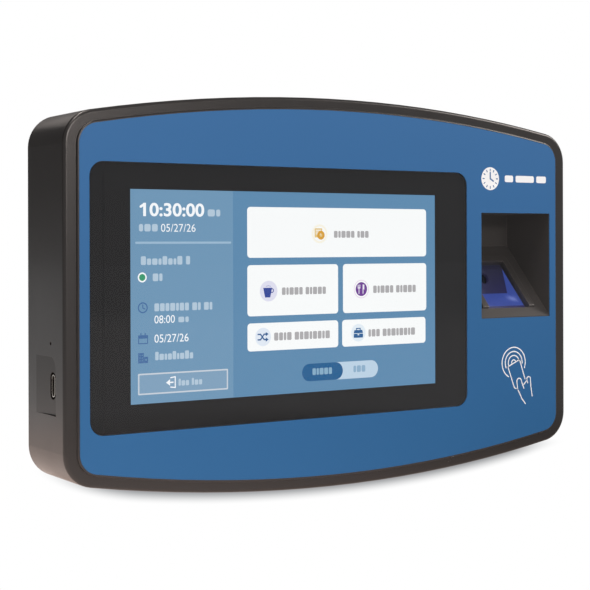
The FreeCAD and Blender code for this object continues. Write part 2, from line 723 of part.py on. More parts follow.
def sensor_ribbon():
    """Between the reader's board and the main board."""
    return ribbon([(17.9, 54.5), (20.0, 54.5), (20.0, 75.0), (33.9, 75.0), (33.9, 86.8)], "z", (-6.0, 2.0))


def parts():
    """Every node by name."""
    d = BOARD_D[1]
    return {
        "wall_plate": wall_plate(),
        "housing": housing(),
        "back_cover": back_cover(),
        "case_screws": case_screws(),
        "fascia_panel": fascia_panel(),
        "cover_glass": cover_glass(),
        "glass_border": glass_border(),
        "glass_tape": glass_tape(),
        "touch_sensor": touch_sensor(),
        "lcd_panel": lcd_panel(),
        "light_guide": light_guide(),
        "lcd_tray": lcd_tray(),
        "lcd_cushions": lcd_cushions(),
        "lcd_bracket": lcd_bracket(),
        "bracket_screws": bracket_screws(),
        "finger_well": finger_well(),
        "well_screws": well_screws(),
        "sensor_platen": sensor_platen(),
        "sensor_prism": sensor_prism(),
        "sensor_cradle": sensor_cradle(),
        "sensor_lens": sensor_lens(),
        "sensor_board": sensor_board(),
        "sensor_led_board": sensor_led_board(),
        "sensor_leds": sensor_leds(),
        "main_board": drilled_board(BOARD_X, BOARD_D, BOARD_Z, BOARD_SCREWS),
        "board_standoffs": standoffs(BOARD_SCREWS, BRACKET_D[1], BOARD_D[0]),
        "board_screws": board_screws_for(BOARD_SCREWS, d),
        "processor": on_board((-17.0, 1.0), (-9.0, 9.0), 1.4),
        "heat_spreader": heat_spreader(),
        "memory_chips": memory_chips(),
        "radio_module": on_board((-58.0, -40.0), (4.0, 24.0), 2.4),
        "capacitors": capacitors(),
        "ribbon_sockets": ribbon_sockets(),
        "network_jack": network_jack(),
        "network_contacts": network_contacts(),
        "power_jack": power_jack(),
        "power_pin": power_pin(),
        "battery_holder": battery_holder(),
        "backup_battery": backup_battery(),
        "io_board": drilled_board(IO_X, IO_D, IO_Z, IO_SCREWS),
        "io_standoffs": standoffs(IO_SCREWS, BRACKET_D[1], IO_D[0]),
        "io_screws": board_screws_for(IO_SCREWS, IO_D[1]),
        "usb_port_shell": usb_port_shell(),
        "usb_port_tongue": usb_port_tongue(),
        "reset_switch": reset_switch(),
        "reset_button": reset_button(),
        "speaker_frame": speaker_frame(),
        "speaker_magnet": speaker_magnet(),
        "speaker_cone": speaker_cone(),
        "speaker_gasket": speaker_gasket(),
        "card_antenna_board": card_antenna_board(),
        "card_antenna_coil": card_antenna_coil(),
        "wifi_antenna": wifi_antenna(),
        "antenna_lead": antenna_lead(),
        "lcd_ribbon": lcd_ribbon(),
        "io_ribbon": io_ribbon(),
        "sensor_ribbon": sensor_ribbon(),
    }


def main():
    os.makedirs("parts", exist_ok=True)
    for name, shape in parts().items():
        if not shape.isValid() or shape.Volume <= 0:
            raise ValueError(f"{name} is not a valid solid")
        shape.exportStep(f"parts/{name}.step")
        print(f"{name}: {len(shape.Solids)} solids, {shape.Volume / 1000:.2f} cm3")


main()
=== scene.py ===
"""Finishes for a wall-hung fingerprint terminal: case, printed front, lit display, reader,
side port, wall plate, inner parts and the stage it stands on. Lengths in the layout
tables are in millimetres; meshes are in metres, X to the right, Z up, Y to the wall.
"""

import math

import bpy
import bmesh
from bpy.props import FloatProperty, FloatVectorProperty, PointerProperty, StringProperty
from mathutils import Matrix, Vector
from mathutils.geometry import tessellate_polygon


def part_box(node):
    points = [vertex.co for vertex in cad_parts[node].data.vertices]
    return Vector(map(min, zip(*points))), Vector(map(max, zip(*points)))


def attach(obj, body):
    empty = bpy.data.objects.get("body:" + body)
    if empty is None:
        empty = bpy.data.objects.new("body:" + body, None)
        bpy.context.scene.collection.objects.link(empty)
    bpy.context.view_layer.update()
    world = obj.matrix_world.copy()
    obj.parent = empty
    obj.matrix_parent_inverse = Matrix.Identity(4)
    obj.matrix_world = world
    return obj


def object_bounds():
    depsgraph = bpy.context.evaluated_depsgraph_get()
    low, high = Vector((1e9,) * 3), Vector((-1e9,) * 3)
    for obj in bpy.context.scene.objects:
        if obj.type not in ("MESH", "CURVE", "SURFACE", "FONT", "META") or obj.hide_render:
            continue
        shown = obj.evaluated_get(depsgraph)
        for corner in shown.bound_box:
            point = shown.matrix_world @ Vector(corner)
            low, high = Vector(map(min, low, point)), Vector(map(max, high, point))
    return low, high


bl_info = {
    "name": "Fingerprint Terminal Finishes",
    "version": (1, 0, 0),
    "blender": (4, 5, 0),
    "location": "View3D > Sidebar > Terminal",
    "description": "Finishes and display artwork for a wall-hung fingerprint terminal",
    "category": "Object",
}

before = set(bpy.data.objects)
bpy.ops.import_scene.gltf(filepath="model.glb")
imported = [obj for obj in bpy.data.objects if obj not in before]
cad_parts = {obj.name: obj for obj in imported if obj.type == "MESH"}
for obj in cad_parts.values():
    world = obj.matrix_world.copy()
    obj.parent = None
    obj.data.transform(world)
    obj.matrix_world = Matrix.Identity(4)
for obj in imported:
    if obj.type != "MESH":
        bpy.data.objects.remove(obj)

CAD_BOX = [list(corner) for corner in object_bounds()]

MM = 0.001
INK_THICKNESS = 0.01     # mm, of one layer of display artwork
PRINT_THICKNESS = 0.02   # mm, of the white print on the fascia
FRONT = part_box("fascia_panel")[0].y

# Depths of the artwork behind the fascia's front, in mm, in front of the liquid crystal panel
PANE_AT, BUTTON_AT, LABEL_AT, SYMBOL_AT = 1.48, 1.465, 1.45, 1.435

# The lit window: its left and top edges and its size, in mm
SCREEN_LEFT, SCREEN_TOP = -102.6, 43.65
SCREEN_W, SCREEN_H = 154.9, 86.6
SIDE_PANE_W = 47.7


def rgb(red, green, blue):
    """Linear colour of a display colour given from 0 to 255."""
    parts = [c / 255 for c in (red, green, blue)]
    return tuple(c / 12.92 if c <= 0.04045 else ((c + 0.055) / 1.055) ** 2.4 for c in parts)


def colour(name, description, red, green, blue):
    return FloatVectorProperty(name=name, description=description, subtype="COLOR", size=3,
                               min=0.0, max=1.0, default=rgb(red, green, blue))


def length(name, description, default):
    """A size in metres."""
    return FloatProperty(name=name, description=description, default=default,
                         min=0.0, subtype="DISTANCE", unit="LENGTH")


def power(name, description, default):
    return FloatProperty(name=name, description=description, default=default,
                         min=0.0, subtype="POWER", unit="POWER")


def share(name, description, default, top=1.0):
    return FloatProperty(name=name, description=description, default=default, min=0.0, max=top)


# ---------------------------------------------------------------- settings

class CaseLooks(bpy.types.PropertyGroup):
    """Colours and textures of the moulded case and the printed front."""
    plastic: colour("Plastic", "Colour of the moulded case", 30, 27, 26)
    # Pale edge colour: wear along the case's edges, and a painted highlight along the finger well's
    # edges.
    wear_and_sheen_colour: colour("Rubbed edge", "Colour of the plastic where edges are handled", 92, 86, 84)
    grain: length("Grain", "Size of the moulded texture", 0.00035)
    plastic_roughness: share("Plastic roughness", "Roughness of the case", 0.3)
    # Painted shading on the blue fascia: lighter at the top, darker at the foot.
    lit_blue_top: colour("Fascia top", "Blue at the top of the fascia", 40, 99, 154)
    shaded_blue_foot: colour("Fascia foot", "Blue at the foot of the fascia", 30, 93, 145)
    fascia_roughness: share("Fascia roughness", "Roughness of the printed fascia", 0.5)
    print_white: colour("Print", "White print on the fascia", 238, 242, 246)
    border_black: colour("Glass border", "Print behind the cover glass", 27, 27, 28)


class DisplayLooks(bpy.types.PropertyGroup):
    """Colours and figures of the lit display."""
    side_pane: colour("Side pane", "Left pane of the display", 109, 150, 182)
    main_pane: colour("Main pane", "Right pane of the display", 90, 137, 174)
    tile: colour("Tile", "Face of the touch tiles", 253, 254, 253)
    side_text: colour("Side text", "Text of the left pane", 250, 252, 254)
    side_symbol: colour("Side symbols", "Symbols of the left pane", 62, 105, 156)
    tile_text: colour("Tile text", "Text on the tiles", 92, 86, 90)
    divider: colour("Divider", "Line under the date", 156, 186, 209)
    status: colour("Status", "Dot beside the status line", 52, 152, 108)
    switch_on: colour("Switch on", "Chosen half of the pill switch", 8, 90, 142)
    switch_off: colour("Switch off", "Other half of the pill switch", 190, 212, 230)
    clock: StringProperty(name="Clock", description="Figures of the clock", default="10:30:00")
    date: StringProperty(name="Date", description="Figures of the date", default="05/27/26")
    entry: StringProperty(name="Entry time", description="Figures of the last entry", default="08:00")
    word_tone: share("Word tone", "Strength of the stand-in words against their ground", 0.5)
    brightness: share("Brightness", "Light of the display", 1.0, top=4.0)


class ReaderLooks(bpy.types.PropertyGroup):
    """Colours of the finger well and the reader in it."""
    well: colour("Well", "Plastic of the finger well", 54, 52, 51)
    glow: colour("Glow", "Lit cradle under the prism", 61, 78, 146)
    unlit_top: colour("Unlit top", "Far face of the cradle, at its top", 37, 36, 41)
    unlit_foot: colour("Unlit foot", "Far face of the cradle, at its foot", 42, 36, 76)
    hot_spot: colour("Hot spot", "Light where a lamp shows through", 160, 172, 232)
    brightness: share("Brightness", "Light of the cradle", 1.0, top=4.0)


class StageLooks(bpy.types.PropertyGroup):
    """Camera, lamps and floor."""
    camera_turn: FloatProperty(name="Camera turn", description="Camera's angle to the left of the front",
                               subtype="ANGLE", unit="ROTATION", default=math.radians(32.7))
    camera_distance: length("Camera distance", "From the wall plate's middle", 0.6426)
    camera_height: length("Camera height", "Above the terminal's middle", 0.021)
    key_power: power("Key lamp", "Power of the lamp in front, high on the left", 4.0)
    top_power: power("Top lamp", "Power of the small lamp straight above", 3.0)
    side_power: power("Side lamp", "Power of the lamp on the right", 8.0)
    rear_power: power("Rear lamp", "Power of the lamp behind", 0.5)
    front_power: power("Front lamp", "Power of the low lamp in front", 6.3)
    lamp_tint: colour("Lamp tint", "Colour of every lamp", 255, 243, 236)
    floor: colour("Floor", "Colour of the floor", 240, 240, 240)
    # The floor's shade is a painted shadow in its colour, not cast by the lamps.
    shade: share("Shade", "Depth of the soft shade on the floor under the terminal", 0.72)
    floor_bounce: share("Floor bounce", "Light that the floor sends up to the terminal", 0.7, top=4.0)
    bounce_tint: colour("Bounce tint", "Colour of the light from the floor", 255, 218, 200)
    front_sky: share("Front surroundings", "Brightness of the room in front", 0.44, top=4.0)
    rear_sky: share("Rear surroundings", "Brightness of the room behind", 0.1, top=4.0)


# ---------------------------------------------------------------- node helpers

def put(tree, kind, inputs=None, **settings):
    """Adds a node; inputs holds values, or sockets to link from, by input name or number."""
    node = tree.nodes.new(kind)
    for key, value in settings.items():
        setattr(node, key, value)
    for key, value in (inputs or {}).items():
        if isinstance(value, bpy.types.NodeSocket):
            tree.links.new(value, node.inputs[key])
        else:
            node.inputs[key].default_value = value
    return node


def sums(tree, operation, *values):
    """One Math node; returns its output."""
    return put(tree, "ShaderNodeMath", dict(enumerate(values)), operation=operation).outputs[0]


def noise(tree, place, scale, detail):
    """Noise from 0 to 1 over a place."""
    inputs = {"Vector": place, "Scale": scale, "Detail": detail}
    return put(tree, "ShaderNodeTexNoise", inputs).outputs["Fac"]


def ramp(tree, value, low, high, start=0.0, end=1.0, **settings):
    """Takes a value from one range to another, and holds it at the ends."""
    return put(tree, "ShaderNodeMapRange", {"Value": value, "From Min": low, "From Max": high,
                                            "To Min": start, "To Max": end}, **settings).outputs[0]


def mixed(tree, factor, first, second):
    """Colour from the first, at factor 0, to the second, at 1."""
    return put(tree, "ShaderNodeMix", {"Factor": factor, "A": first, "B": second},
               data_type="RGBA").outputs["Result"]


def opaque(tint):
    return (*tint, 1.0)


def new_group(name, inputs, outputs):
    """Empty shader group; inputs and outputs are (name, kind, default) in order."""
    group = bpy.data.node_groups.new(name, "ShaderNodeTree")
    for direction, sockets in (("INPUT", inputs), ("OUTPUT", outputs)):
        for label, kind, default in sockets:
            socket = group.interface.new_socket(name=label, in_out=direction,
                                                socket_type="NodeSocket" + kind)
            if default is not None:
                socket.default_value = default
    return group, put(group, "NodeGroupInput").outputs, put(group, "NodeGroupOutput").inputs


def scaled_place(tree, size):
    """Place on the terminal, divided by a size socket."""
    place = put(tree, "ShaderNodeTexCoord").outputs["Object"]
    per = sums(tree, "DIVIDE", 1.0, size)
    return put(tree, "ShaderNodeVectorMath", {0: place, "Scale": per}, operation="SCALE").outputs[0]


def brightened(tree, tint, factor):
    """Colour times a factor socket."""
    return put(tree, "ShaderNodeVectorMath", {0: tint, "Scale": factor}, operation="SCALE").outputs[0]


# ---------------------------------------------------------------- shared effects

def moulded_grain_group():
    """Fine moulded texture: height, and roughness that changes from place to place."""
    group, inputs, outputs = new_group(
        "moulded_grain",
        [("Size", "Float", 0.0004), ("Roughness", "Float", 0.5), ("Spread", "Float", 0.1)],
        [("Height", "Float", None), ("Roughness", "Float", None)])
    place = scaled_place(group, inputs["Size"])
    swing = sums(group, "SUBTRACT", noise(group, place, 0.02, 3.0), 0.5)
    swing = sums(group, "MULTIPLY", swing, inputs["Spread"])
    group.links.new(noise(group, place, 1.0, 2.0), outputs["Height"])
    group.links.new(sums(group, "ADD", inputs["Roughness"], swing), outputs["Roughness"])
    return group


def tone_drift_group():
    """Slow change of brightness over a surface."""
    group, inputs, outputs = new_group(
        "tone_drift",
        [("Color", "Color", (0.5, 0.5, 0.5, 1)), ("Size", "Float", 0.03), ("Amount", "Float", 0.08)],
        [("Color", "Color", None)])
    clouds = noise(group, scaled_place(group, inputs["Size"]), 1.0, 4.0)
    swing = sums(group, "SUBTRACT", clouds, 0.5)
    factor = sums(group, "MULTIPLY_ADD", swing, inputs["Amount"], 1.0)
    group.links.new(brightened(group, inputs["Color"], factor), outputs["Color"])
    return group


def edge_wear_and_sheen_group():
    """Mask of edges, broken up by noise: worn edges, and at a high strength a painted highlight along
    them.
    """
    group, inputs, outputs = new_group(
        "edge_rub", [("Width", "Float", 0.0006), ("Strength", "Float", 1.0)], [("Mask", "Float", None)])
    rounded = put(group, "ShaderNodeBevel", {"Radius": inputs["Width"]}, samples=4)
    true_normal = put(group, "ShaderNodeNewGeometry").outputs["Normal"]
    turn = put(group, "ShaderNodeVectorMath", {0: rounded.outputs[0], 1: true_normal},
               operation="DOT_PRODUCT")
    edge = sums(group, "SUBTRACT", 1.0, turn.outputs["Value"])
    breaks = noise(group, scaled_place(group, inputs["Width"]), 0.15, 3.0)
    wear_and_sheen_mask = sums(group, "MULTIPLY", edge, breaks)
    wear_and_sheen_mask = put(group, "ShaderNodeMath", {0: wear_and_sheen_mask, 1: inputs["Strength"]}, operation="MULTIPLY",
               use_clamp=True)
    group.links.new(wear_and_sheen_mask.outputs[0], outputs["Mask"])
    return group


def brushed_lines_group():
    """Fine lines of rolled or brushed metal along X, and soft stains."""
    group, inputs, outputs = new_group(
        "brushed_lines",
        [("Color", "Color", (0.6, 0.6, 0.6, 1)), ("Size", "Float", 0.0002), ("Roughness", "Float", 0.3)],
        [("Color", "Color", None), ("Height", "Float", None), ("Roughness", "Float", None)])
    place = scaled_place(group, inputs["Size"])
    long_lines = put(group, "ShaderNodeVectorMath", {0: place, 1: (0.02, 1.0, 1.0)},
                     operation="MULTIPLY")
    lines = noise(group, long_lines.outputs[0], 1.0, 3.0)
    stains = noise(group, place, 0.01, 4.0)
    swing = sums(group, "SUBTRACT", lines, 0.5)
    tone = sums(group, "MULTIPLY_ADD", swing, 0.22, 0.92)
    tone = sums(group, "MULTIPLY_ADD", stains, 0.15, tone)
    rough = sums(group, "MULTIPLY_ADD", swing, 0.25, inputs["Roughness"])
    group.links.new(brightened(group, inputs["Color"], tone), outputs["Color"])
    group.links.new(lines, outputs["Height"])
    group.links.new(rough, outputs["Roughness"])
    return group


def screen_tone_group():
    """Light of the display: cells of the panel and a slow drift of the backlight."""
    group, inputs, outputs = new_group(
        "screen_tone",
        [("Color", "Color", (0.5, 0.5, 0.5, 1)), ("Pitch", "Float", 0.00015), ("Drift", "Float", 0.03)],
        [("Color", "Color", None)])
    place = put(group, "ShaderNodeTexCoord").outputs["Object"]
    cells = scaled_place(group, inputs["Pitch"])
    rows = put(group, "ShaderNodeTexWave", {"Vector": cells, "Scale": 0.32, "Distortion": 0.0},
               bands_direction="Z")
    swing = sums(group, "SUBTRACT", noise(group, place, 12.0, 1.0), 0.5)
    factor = sums(group, "MULTIPLY_ADD", swing, inputs["Drift"], 0.985)
    factor = sums(group, "MULTIPLY_ADD", rows.outputs["Fac"], 0.03, factor)
    group.links.new(brightened(group, inputs["Color"], factor), outputs["Color"])
    return group


def circuit_traces_group():
    """Mask of the copper tracks under a board's solder mask."""
    group, inputs, outputs = new_group(
        "circuit_traces", [("Pitch", "Float", 0.0012)], [("Mask", "Float", None)])
    place = scaled_place(group, inputs["Pitch"])
    turned = put(group, "ShaderNodeMapping", {"Vector": place, "Rotation": (math.pi / 2, 0.0, 0.0)})
    tracks = put(group, "ShaderNodeTexBrick",
                 {"Vector": turned.outputs[0], "Scale": 0.25, "Mortar Size": 0.035,
                  "Brick Width": 1.7, "Row Height": 0.3}, offset=0.37, squash=1.6)
    group.links.new(tracks.outputs["Fac"], outputs["Mask"])
    return group


GROUP_MAKERS = {
    "moulded_grain": moulded_grain_group, "tone_drift": tone_drift_group, "edge_rub": edge_wear_and_sheen_group,
    "brushed_lines": brushed_lines_group, "screen_tone": screen_tone_group,
    "circuit_traces": circuit_traces_group,
}


def effect(tree, name, **inputs):
    """Places a shared effect; input names are given with underscores for spaces."""
    group = bpy.data.node_groups.get(name) or GROUP_MAKERS[name]()
    return put(tree, "ShaderNodeGroup", {key.replace("_", " "): v for key, v in inputs.items()},
               node_tree=group).outputs


# ---------------------------------------------------------------- materials

INNER_MIRROR_LOSS = 0.03  # share of light that a glass face inside the terminal doesn't mirror


def blank(name, **constants):
    """Material with one Principled shader; constants go on its own sockets."""
    material = bpy.data.materials.new(name)
    material.use_nodes = True
    shader = material.node_tree.nodes["Principled BSDF"]
    for key, value in constants.items():
        shader.inputs[key.replace("_", " ")].default_value = value
    return material, material.node_tree, shader


def dress(tree, shader, base, roughness, height, depth):
    """Leads colour, roughness and height to the shader; depth in metres is the height's full swing."""
    bump = put(tree, "ShaderNodeBump", {"Height": height, "Strength": 1.0, "Distance": depth})
    for socket, name in ((base, "Base Color"), (roughness, "Roughness"), (bump.outputs[0], "Normal")):
        tree.links.new(socket, shader.inputs[name])


def moulded(name, tint, roughness=0.5, grain=0.0004, depth=0.00001, wear_and_sheen=None, wear_and_sheen_width=0.0006,
            wear_and_sheen_strength=2.2, **constants):
    """Moulded plastic: grained, slowly drifting in tone, paler along edges as wear and painted
    highlight.
    """
    material, tree, shader = blank(name, **constants)
    texture = effect(tree, "moulded_grain", Size=grain, Roughness=roughness, Spread=0.12)
    base = effect(tree, "tone_drift", Color=opaque(tint), Size=0.02, Amount=0.16)["Color"]
    # Edges paled towards the given colour: wear at a low strength, a painted highlight at a high
    # strength.
    if wear_and_sheen is not None:
        mask = effect(tree, "edge_rub", Width=wear_and_sheen_width, Strength=wear_and_sheen_strength)["Mask"]
        base = mixed(tree, mask, base, opaque(wear_and_sheen))
    dress(tree, shader, base, texture["Roughness"], texture["Height"], depth)
    return material


def metal(name, tint, roughness=0.3, lines=0.0002, depth=0.000004, metallic=1.0):
    """Rolled, plated or brushed metal."""
    material, tree, shader = blank(name, Metallic=metallic)
    grain = effect(tree, "brushed_lines", Color=opaque(tint), Size=lines, Roughness=roughness)
    dress(tree, shader, grain["Color"], grain["Roughness"], grain["Height"], depth)
    return material


def clear_glass(name, tint, roughness=0.02, mirror_loss=0.0):
    """Clear pane: light goes straight through, and the front mirrors by angle, less a loss inside."""
    material, tree, shader = blank(name, Metallic=1.0, Base_Color=(0.95, 0.97, 1.0, 1.0))
    film = effect(tree, "moulded_grain", Size=0.004, Roughness=roughness, Spread=0.02)
    tree.links.new(film["Roughness"], shader.inputs["Roughness"])
    mirror = put(tree, "ShaderNodeFresnel", {"IOR": 1.5}).outputs[0]
    outside = sums(tree, "SUBTRACT", 1.0, put(tree, "ShaderNodeNewGeometry").outputs["Backfacing"])
    amount = sums(tree, "SUBTRACT", sums(tree, "MULTIPLY", mirror, outside), mirror_loss)
    through = put(tree, "ShaderNodeBsdfTransparent", {"Color": opaque(tint)})
    pane = put(tree, "ShaderNodeMixShader", {0: amount, 1: through.outputs[0], 2: shader.outputs[0]})
    tree.links.new(pane.outputs[0], tree.nodes["Material Output"].inputs["Surface"])
    return material


def lit_ink(name, tint, brightness=1.0):
    """One colour of the lit display."""
    material, tree, shader = blank(name, Roughness=0.6, Emission_Strength=brightness,
                                   Specular_IOR_Level=0.0, Base_Color=(0.004, 0.004, 0.004, 1.0))
    light = effect(tree, "screen_tone", Color=opaque(tint))["Color"]
    tree.links.new(light, shader.inputs["Emission Color"])
    return material


def height_share(tree, low, high):
    """0 at one height and 1 at another."""
    place = put(tree, "ShaderNodeTexCoord").outputs["Object"]
    z = put(tree, "ShaderNodeSeparateXYZ", {0: place}).outputs["Z"]
    return ramp(tree, z, low, high)


def fascia_blue(looks):
    """Printed polycarbonate blue, with painted shading from a darker foot to a lighter top, under a fine
    matt texture.
    """
    low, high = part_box("fascia_panel")
    material, tree, shader = blank("fascia_blue_print", Specular_IOR_Level=0.3)
    texture = effect(tree, "moulded_grain", Size=0.00022, Roughness=looks.fascia_roughness, Spread=0.08)
    # Painted shading: from the darker blue at the foot to the lighter blue at the top.
    blues = mixed(tree, height_share(tree, low.z, high.z),
                  opaque(looks.shaded_blue_foot), opaque(looks.lit_blue_top))
    base = effect(tree, "tone_drift", Color=blues, Size=0.05, Amount=0.05)["Color"]
    dress(tree, shader, base, texture["Roughness"], texture["Height"], 0.000006)
    return material


# The lit cradle, in metres from its box; the floor's share of its normal along Y tells it apart
FLOOR_FACING, FLOOR_SPREAD = -0.45, 0.12
CRADLE_WALL = 0.0026                 # within this of the cradle's sides a face is a side wall
HOT_SPOT = (-0.0035, 0.011, 0.0075)  # from the right, front and low corner
HOT_SPOT_RADIUS = 0.0062
UNLIT_FOOT = 0.004                   # the far face starts to turn from its foot's colour here


def cradle_glow(looks):
    """Blue light on the cradle's floor and sides, dim on its far face, with one hot spot."""
    material, tree, shader = blank("cradle_lit_blue", Roughness=0.45, Emission_Strength=looks.brightness,
                                   Base_Color=(0.006, 0.008, 0.03, 1.0))
    geometry = put(tree, "ShaderNodeNewGeometry").outputs
    low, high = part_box("sensor_cradle")
    facing = put(tree, "ShaderNodeSeparateXYZ", {0: geometry["Normal"]}).outputs
    place = put(tree, "ShaderNodeSeparateXYZ", {0: geometry["Position"]}).outputs
    floor = sums(tree, "COMPARE", facing["Y"], FLOOR_FACING, FLOOR_SPREAD)
    out = sums(tree, "ABSOLUTE", sums(tree, "SUBTRACT", place["X"], (low.x + high.x) / 2))
    walls = sums(tree, "GREATER_THAN", out, (high.x - low.x) / 2 - CRADLE_WALL)
    sideways = sums(tree, "GREATER_THAN", sums(tree, "ABSOLUTE", facing["X"]), 0.9)
    walls = sums(tree, "MULTIPLY", walls, sideways)
    far_face = sums(tree, "SUBTRACT", 1.0, sums(tree, "MAXIMUM", floor, walls))
    spot = Vector((high.x, low.y, low.z)) + Vector(HOT_SPOT)
    reach = put(tree, "ShaderNodeVectorMath", {0: geometry["Position"], 1: spot}, operation="DISTANCE")
    hot = ramp(tree, reach.outputs["Value"], 0.0, HOT_SPOT_RADIUS, 1.0, 0.0,
               interpolation_type="SMOOTHERSTEP")
    lit = effect(tree, "tone_drift", Color=opaque(looks.glow), Size=0.006, Amount=0.35)["Color"]
    lit = mixed(tree, hot, lit, opaque(looks.hot_spot))
    unlit = mixed(tree, height_share(tree, low.z + UNLIT_FOOT, high.z),
                  opaque(looks.unlit_foot), opaque(looks.unlit_top))
    tree.links.new(mixed(tree, far_face, lit, unlit), shader.inputs["Emission Color"])
    return material


def board_green():
    """Solder mask over tracks, with a slight sheen."""
    material, tree, shader = blank("board_solder_mask", Coat_Weight=0.4, Coat_Roughness=0.2)
    tracks = effect(tree, "circuit_traces")["Mask"]
    greens = mixed(tree, tracks, opaque(rgb(14, 62, 40)), opaque(rgb(30, 98, 62)))
    base = effect(tree, "tone_drift", Color=greens, Size=0.01, Amount=0.2)["Color"]
    texture = effect(tree, "moulded_grain", Size=0.0005, Roughness=0.4, Spread=0.15)
    dress(tree, shader, base, texture["Roughness"], tracks, 0.00003)
    return material


def give(material, *nodes):
    """Puts one material on CAD nodes."""
    for name in nodes:
        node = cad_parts[name]
        if not node.material_slots:
            node.data.materials.append(material)
        for slot in node.material_slots:
            slot.material = material


# ---------------------------------------------------------------- flat artwork

def oblong(x0, z0, x1, z1, radius=0.0, steps=6):
    """Outline of a rectangle with rounded corners, in mm."""
    if radius <= 0:
        return [(x0, z0), (x1, z0), (x1, z1), (x0, z1)]
    corners = ((x1 - radius, z0 + radius, -90), (x1 - radius, z1 - radius, 0),
               (x0 + radius, z1 - radius, 90), (x0 + radius, z0 + radius, 180))
    return [p for x, z, turn in corners for p in bow(x, z, radius, turn, turn + 90, steps)]


def bow(x, z, radius, start, end, steps=24):
    """Points along an arc; angles in degrees, counter-clockwise from the right."""
    turns = [math.radians(start + (end - start) * i / steps) for i in range(steps + 1)]
    return [(x + radius * math.cos(t), z + radius * math.sin(t)) for t in turns]


def disc(x, z, radius, steps=40):
    return bow(x, z, radius, 0, 360 * (steps - 1) / steps, steps - 1)


def ring(x, z, radius, width):
    """Outer and inner loops of a ring whose outer radius is given."""
    return [disc(x, z, radius), disc(x, z, radius - width)]


def line(points, width):
    """Outline of an open stroke with round ends."""
    half = width / 2
    places = [Vector(p) for p in points]
    runs = [(b - a).normalized() for a, b in zip(places, places[1:])]
    sides = []
    for i, place in enumerate(places):
        before, after = runs[max(i - 1, 0)], runs[min(i, len(runs) - 1)]
        along = (before + after).normalized()
        across = Vector((-along.y, along.x))
        reach = half / max(along.dot(after), 0.5)
        sides.append((place + across * reach, place - across * reach))

    def cap(place, along):
        turn = math.degrees(math.atan2(along.y, along.x))
        return bow(place.x, place.y, half, turn - 90, turn + 90, 8)[1:-1]

    left, right = [s[0] for s in sides], [s[1] for s in sides]
    outline = [tuple(p) for p in right] + cap(places[-1], runs[-1])
    return outline + [tuple(p) for p in reversed(left)] + cap(places[0], -runs[0])


def press(mesh, loops, depth, thickness):
    """Adds a thin closed plate; later loops are holes in the first."""
    places = [p for loop in loops for p in loop]
    near = FRONT + depth * MM
    faces = [[mesh.verts.new((x * MM, y, z * MM)) for x, z in places]
             for y in (near, near + thickness * MM)]
    made = []
    for corners in tessellate_polygon([[Vector((x, z, 0)) for x, z in loop] for loop in loops]):
        made += [mesh.faces.new([side[i] for i in corners]) for side in faces]
    start = 0
    for loop in loops:
        count = len(loop)
        for i in range(count):
            a, b = start + i, start + (i + 1) % count
            made.append(mesh.faces.new((faces[0][a], faces[1][a], faces[1][b], faces[0][b])))
        start += count
    bmesh.ops.recalc_face_normals(mesh, faces=made)


def flat_figures(text, weight):
    """Flat mesh of figures in Blender's own typeface; weight thickens them."""
    curve = bpy.data.curves.new("figures", "FONT")
    curve.body, curve.offset, curve.resolution_u = text, weight, 5
    stand = bpy.data.objects.new("figures", curve)
    bpy.context.scene.collection.objects.link(stand)
    bpy.context.view_layer.update()
    flat = bpy.data.meshes.new_from_object(stand.evaluated_get(bpy.context.evaluated_depsgraph_get()))
    bpy.data.objects.remove(stand)
    bpy.data.curves.remove(curve)
    return flat


def set_figures(mesh, text, x0, z0, x1, z1, depth, weight=0.0):
    """Adds raised figures that fill a box in mm."""
    flat = flat_figures(text, weight)
    part = bmesh.new()
    part.from_mesh(flat)
    bpy.data.meshes.remove(flat)
    bmesh.ops.remove_doubles(part, verts=part.verts, dist=1e-5)
    raised = bmesh.ops.extrude_face_region(part, geom=part.faces[:])
    lifted = [v for v in raised["geom"] if isinstance(v, bmesh.types.BMVert)]
    for v in lifted:
        v.co.z = 1.0
    xs, zs = [v.co.x for v in part.verts], [v.co.y for v in part.verts]
    wide, tall = (x1 - x0) / (max(xs) - min(xs)), (z1 - z0) / (max(zs) - min(zs))
    left, foot = min(xs), min(zs)
    for v in part.verts:
        x, z = x0 + (v.co.x - left) * wide, z0 + (v.co.y - foot) * tall
        v.co = (x * MM, FRONT + (depth + v.co.z * INK_THICKNESS) * MM, z * MM)
    bmesh.ops.recalc_face_normals(part, faces=part.faces)
    done = bpy.data.meshes.new("figures")
    part.to_mesh(done)
    part.free()
    mesh.from_mesh(done)
    bpy.data.meshes.remove(done)


def mount_artwork(name, mesh, material):
    """Turns a mesh in the making into a piece of the terminal."""
    data = bpy.data.meshes.new(name)
    mesh.to_mesh(data)
    mesh.free()
    data.materials.append(material)
    piece = bpy.data.objects.new(name, data)
    bpy.context.scene.collection.objects.link(piece)
    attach(piece, "terminal")
    return piece


def artwork(name, plates, depth, material, thickness=INK_THICKNESS):
    """A piece made of thin plates, each a list of loops."""
    mesh = bmesh.new()
    for loops in plates:
        press(mesh, loops, depth, thickness)
    return mount_artwork(name, mesh, material)


def on_screen(right, down):
    """Place in mm of a point measured from the lit window's top left corner."""
    return SCREEN_LEFT + right, SCREEN_TOP - down


def screen_box(right, down, wide, tall, radius=0.0):
    """Outline of a box on the display, from its top left corner."""
    x, z = on_screen(right, down)
    return oblong(x, z - tall, x + wide, z, radius)


# Stand-in words: a rounded block for each place where a sign would be

LOW_BLOCK = 0.74         # height of a low block over that of a tall one
TALL_BLOCKS = (0, 4, 7)  # places in a word that are tall, where blocks differ
BLOCK_WIDTHS = (0.84, 0.7, 0.9, 0.52, 0.8, 0.74, 0.48, 0.86)
BLOCK_GAP, WORD_GAP = 0.16, 0.62


